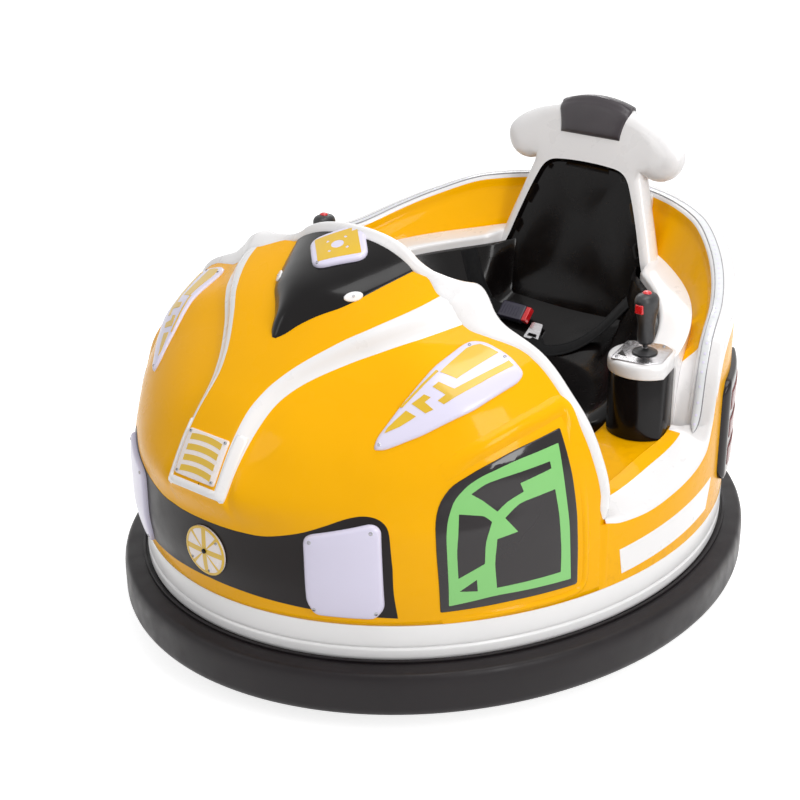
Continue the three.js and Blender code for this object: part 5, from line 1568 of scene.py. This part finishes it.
# ---- Running gear ---------------------------------------------------------------------------------
def treaded_tyre(centre_x, y, radius, width, hub):
    """Solid tyre with a rounded shoulder and cross grooves cut in its tread."""
    count = 144
    half = width / 2
    outer = [(hub, half - 6, 2), (hub + 8, half - 1, 5), (radius - 10, half, 5), (radius, half - 6, 8),
             (radius, half * 0.3, 0), (radius - 3, half * 0.27, 0)]
    profile = rounded([(r, -x, round_off) for r, x, round_off in outer] + outer[::-1], 4, 3)
    rings = []
    for i in range(count):
        a = math.tau * i / count
        groove = 2.6 if i % 6 in (0, 1) else 0
        ring = []
        for r, x in profile:
            cut = groove if r > radius - 7 and abs(x) > half * 0.25 else 0
            ring.append(Vector((centre_x + x, y + (r - cut) * math.cos(a), radius + (r - cut) * math.sin(a))))
        rings.append(ring)
    return sweep(rings, closed=True)


def drive_wheels():
    for side, sign in (("left", 1), ("right", -1)):
        lo, hi = box_mm(f"drive_tyre_{side}")
        middle = (lo + hi) / 2
        body = f"drive_wheel_{side}"
        tyre = treaded_tyre(middle.x, middle.y, (hi.z - lo.z) / 2, hi.x - lo.x, 58)
        piece(f"wheel_tyre_{side}", tyre, TYRE, f"drive_tyre_{side}", body, crease=35)
        nut = prism(circle(5.5, 6), -1, 5, 0.8, 2)
        nuts = Shape()
        for k in range(5):
            a = math.tau * k / 5 + 0.3
            at = middle + Vector((sign * 8, NUT_CIRCLE * math.cos(a), NUT_CIRCLE * math.sin(a)))
            nuts.join(nut, Matrix.Translation(at) @ Matrix.Rotation(sign * math.radians(90), 4, "Y"))
        piece(f"wheel_nuts_{side}", nuts, ZINC, None, body)


RAIL_X = 220
NUT_CIRCLE = 31


def frame_bolts():
    """Hexagon bolts where the chassis rails meet the ring and the crossbars, seen from below."""
    lowest = box_mm("chassis_frame")[0].z
    bolt = prism(circle(7, 6), -1, 5, 1, 2)
    bolt.join(turned([(0, 6.5), (3.4, 6.5), (3.4, 4), (0, 4)], 16))
    bolts = Shape()
    for sign in (-1, 1):
        for y in (-540, -470, -140, 60, 250, 520):
            at = Matrix.Translation((sign * RAIL_X, y, lowest))
            bolts.join(bolt, at @ Matrix.Rotation(math.pi, 4, "X"))
    piece("frame_bolts", bolts, ZINC)


def battery_posts():
    lo, hi = box_mm("battery_block")
    post = turned([(0, 12), (7, 12), (8, 10), (8, 0), (0, 0)], 20)
    posts = Shape()
    for x in (-150, -50, 50, 150):
        posts.join(post, Matrix.Translation((x, lo.y + 28, hi.z - 1)))
    piece("battery_posts", posts, ZINC)


def carried_over():
    """Finishes of the part's own pieces that keep their shape."""
    finishes = {
        "frame_ring": FRAME_STEEL, "chassis_frame": FRAME_STEEL, "battery_block": BATTERY,
        "gear_motor_left": MOTOR, "gear_motor_right": MOTOR, "drive_hub_left": HUB, "drive_hub_right": HUB,
        "caster_fork_front": ZINC, "caster_fork_rear": ZINC, "caster_wheel_front": CASTER_TREAD,
        "caster_wheel_rear": CASTER_TREAD,
    }
    for name, finish in finishes.items():
        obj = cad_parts[name]
        obj.data.materials.clear()
        obj.data.materials.append(finish)


# ---- Studio ---------------------------------------------------------------------------------------
def seen_directly(nodes, links):
    """1 for what is seen straight on, in a reflection or through glass, and 0 for light on the object."""
    path = nodes.new("ShaderNodeLightPath")
    seen = path.outputs["Is Camera Ray"]
    for name in ("Is Glossy Ray", "Is Transmission Ray"):
        either = nodes.new("ShaderNodeMath")
        either.operation = "MAXIMUM"
        links.new(seen, either.inputs[0])
        links.new(path.outputs[name], either.inputs[1])
        seen = either.outputs[0]
    return seen


def background(nodes, strength):
    shader = nodes.new("ShaderNodeBackground")
    shader.inputs["Color"].default_value = (1, 1, 1, 1)
    shader.inputs["Strength"].default_value = strength
    return shader.outputs[0]


WORLD_LIGHT = 0.36
FLOOR_GLOW = 0.75
FLOOR_HALF_SIZE = 9


def studio_world():
    """White where it is looked at, and dimmer as light on the object."""
    world = bpy.data.worlds.new("studio")
    bpy.context.scene.world = world
    world.use_nodes = True
    nodes, links = world.node_tree.nodes, world.node_tree.links
    nodes.clear()
    out = nodes.new("ShaderNodeOutputWorld")
    choose = nodes.new("ShaderNodeMixShader")
    links.new(seen_directly(nodes, links), choose.inputs[0])
    links.new(background(nodes, WORLD_LIGHT), choose.inputs[1])
    links.new(background(nodes, 1), choose.inputs[2])
    links.new(choose.outputs[0], out.inputs["Surface"])


def studio_floor():
    mesh = bpy.data.meshes.new("studio_floor")
    size = FLOOR_HALF_SIZE
    mesh.from_pydata([(-size, -size, 0), (size, -size, 0), (size, size, 0), (-size, size, 0)], [],
                     [(0, 1, 2, 3)])
    floor = bpy.data.objects.new("studio_floor", mesh)
    bpy.context.scene.collection.objects.link(floor)
    floor.location.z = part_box("drive_tyre_left")[0].z - 0.0005
    pale = bpy.data.materials.new("studio_floor")
    pale.use_nodes = True
    nodes, links = pale.node_tree.nodes, pale.node_tree.links
    shader = nodes["Principled BSDF"]
    shader.inputs["Base Color"].default_value = (0.86, 0.86, 0.86, 1)
    shader.inputs["Roughness"].default_value = 0.7
    glow = nodes.new("ShaderNodeEmission")
    level = nodes.new("ShaderNodeMath")
    level.operation = "MULTIPLY"
    level.inputs[1].default_value = FLOOR_GLOW
    links.new(seen_directly(nodes, links), level.inputs[0])
    links.new(level.outputs[0], glow.inputs["Strength"])
    add = nodes.new("ShaderNodeAddShader")
    links.new(shader.outputs[0], add.inputs[0])
    links.new(glow.outputs[0], add.inputs[1])
    links.new(add.outputs[0], nodes["Material Output"].inputs["Surface"])
    mesh.materials.append(pale)


def aimed(name, data, location, target):
    obj = bpy.data.objects.new(name, data)
    bpy.context.scene.collection.objects.link(obj)
    obj.location = location
    obj.rotation_euler = (Vector(target) - Vector(location)).to_track_quat("-Z", "Y").to_euler()
    return obj


# Name, place, height aimed at, width, height and watts of each lamp
LAMPS = (
    ("overhead", (0.8, 0.1, 3.1), 0.3, 2.6, 1.2, 46),
    ("front_left", (-1.6, -3.0, 2.3), 0.4, 1.0, 1.8, 13),
    ("front_right", (3.2, -1.0, 1.9), 0.4, 0.8, 2.0, 46),
    ("behind", (-1.8, 2.6, 2.4), 0.5, 1.6, 1.0, 22),
)


def studio():
    bpy.context.scene.view_settings.view_transform = "Standard"
    studio_world()
    studio_floor()
    for name, location, height, size, size_y, power in LAMPS:
        data = bpy.data.lights.new(name, "AREA")
        data.shape = "RECTANGLE"
        data.size, data.size_y, data.energy = size, size_y, power
        aimed(name, data, location, (0, 0, height))


def camera():
    """Camera at 39 degrees from the nose towards the driver's left, and 23.6 degrees up."""
    azimuth, elevation, distance = math.radians(39.02), math.radians(23.615), 3.181
    data = bpy.data.cameras.new("camera")
    target = Vector((0, 0, 0.35))
    back = Vector((math.sin(azimuth) * math.cos(elevation), -math.cos(azimuth) * math.cos(elevation),
                   math.sin(elevation)))
    data.sensor_width = 36
    data.lens = 68.8
    data.shift_x, data.shift_y = -0.0513, 0.014
    data.clip_start, data.clip_end = 0.05, 60
    bpy.context.scene.camera = aimed("camera", data, target + back * distance, target)


STEPS = (camera, bumper, skirt, hood, nose_mask, headlights, round_lamp, light_plate, nose_frame,
         shoulder_lamps, windows, window_mouldings, cowl, arch_lip, cockpit_wall, seam_covers, side_stripes,
         tail_lamps, light_strip, ledge, side_decks, cockpit_tub, seat_shell, seat_back, headrest,
         joystick_pods, joysticks, seat_belt, drive_wheels, frame_bolts, battery_posts, carried_over, studio)
for make in STEPS:
    make()
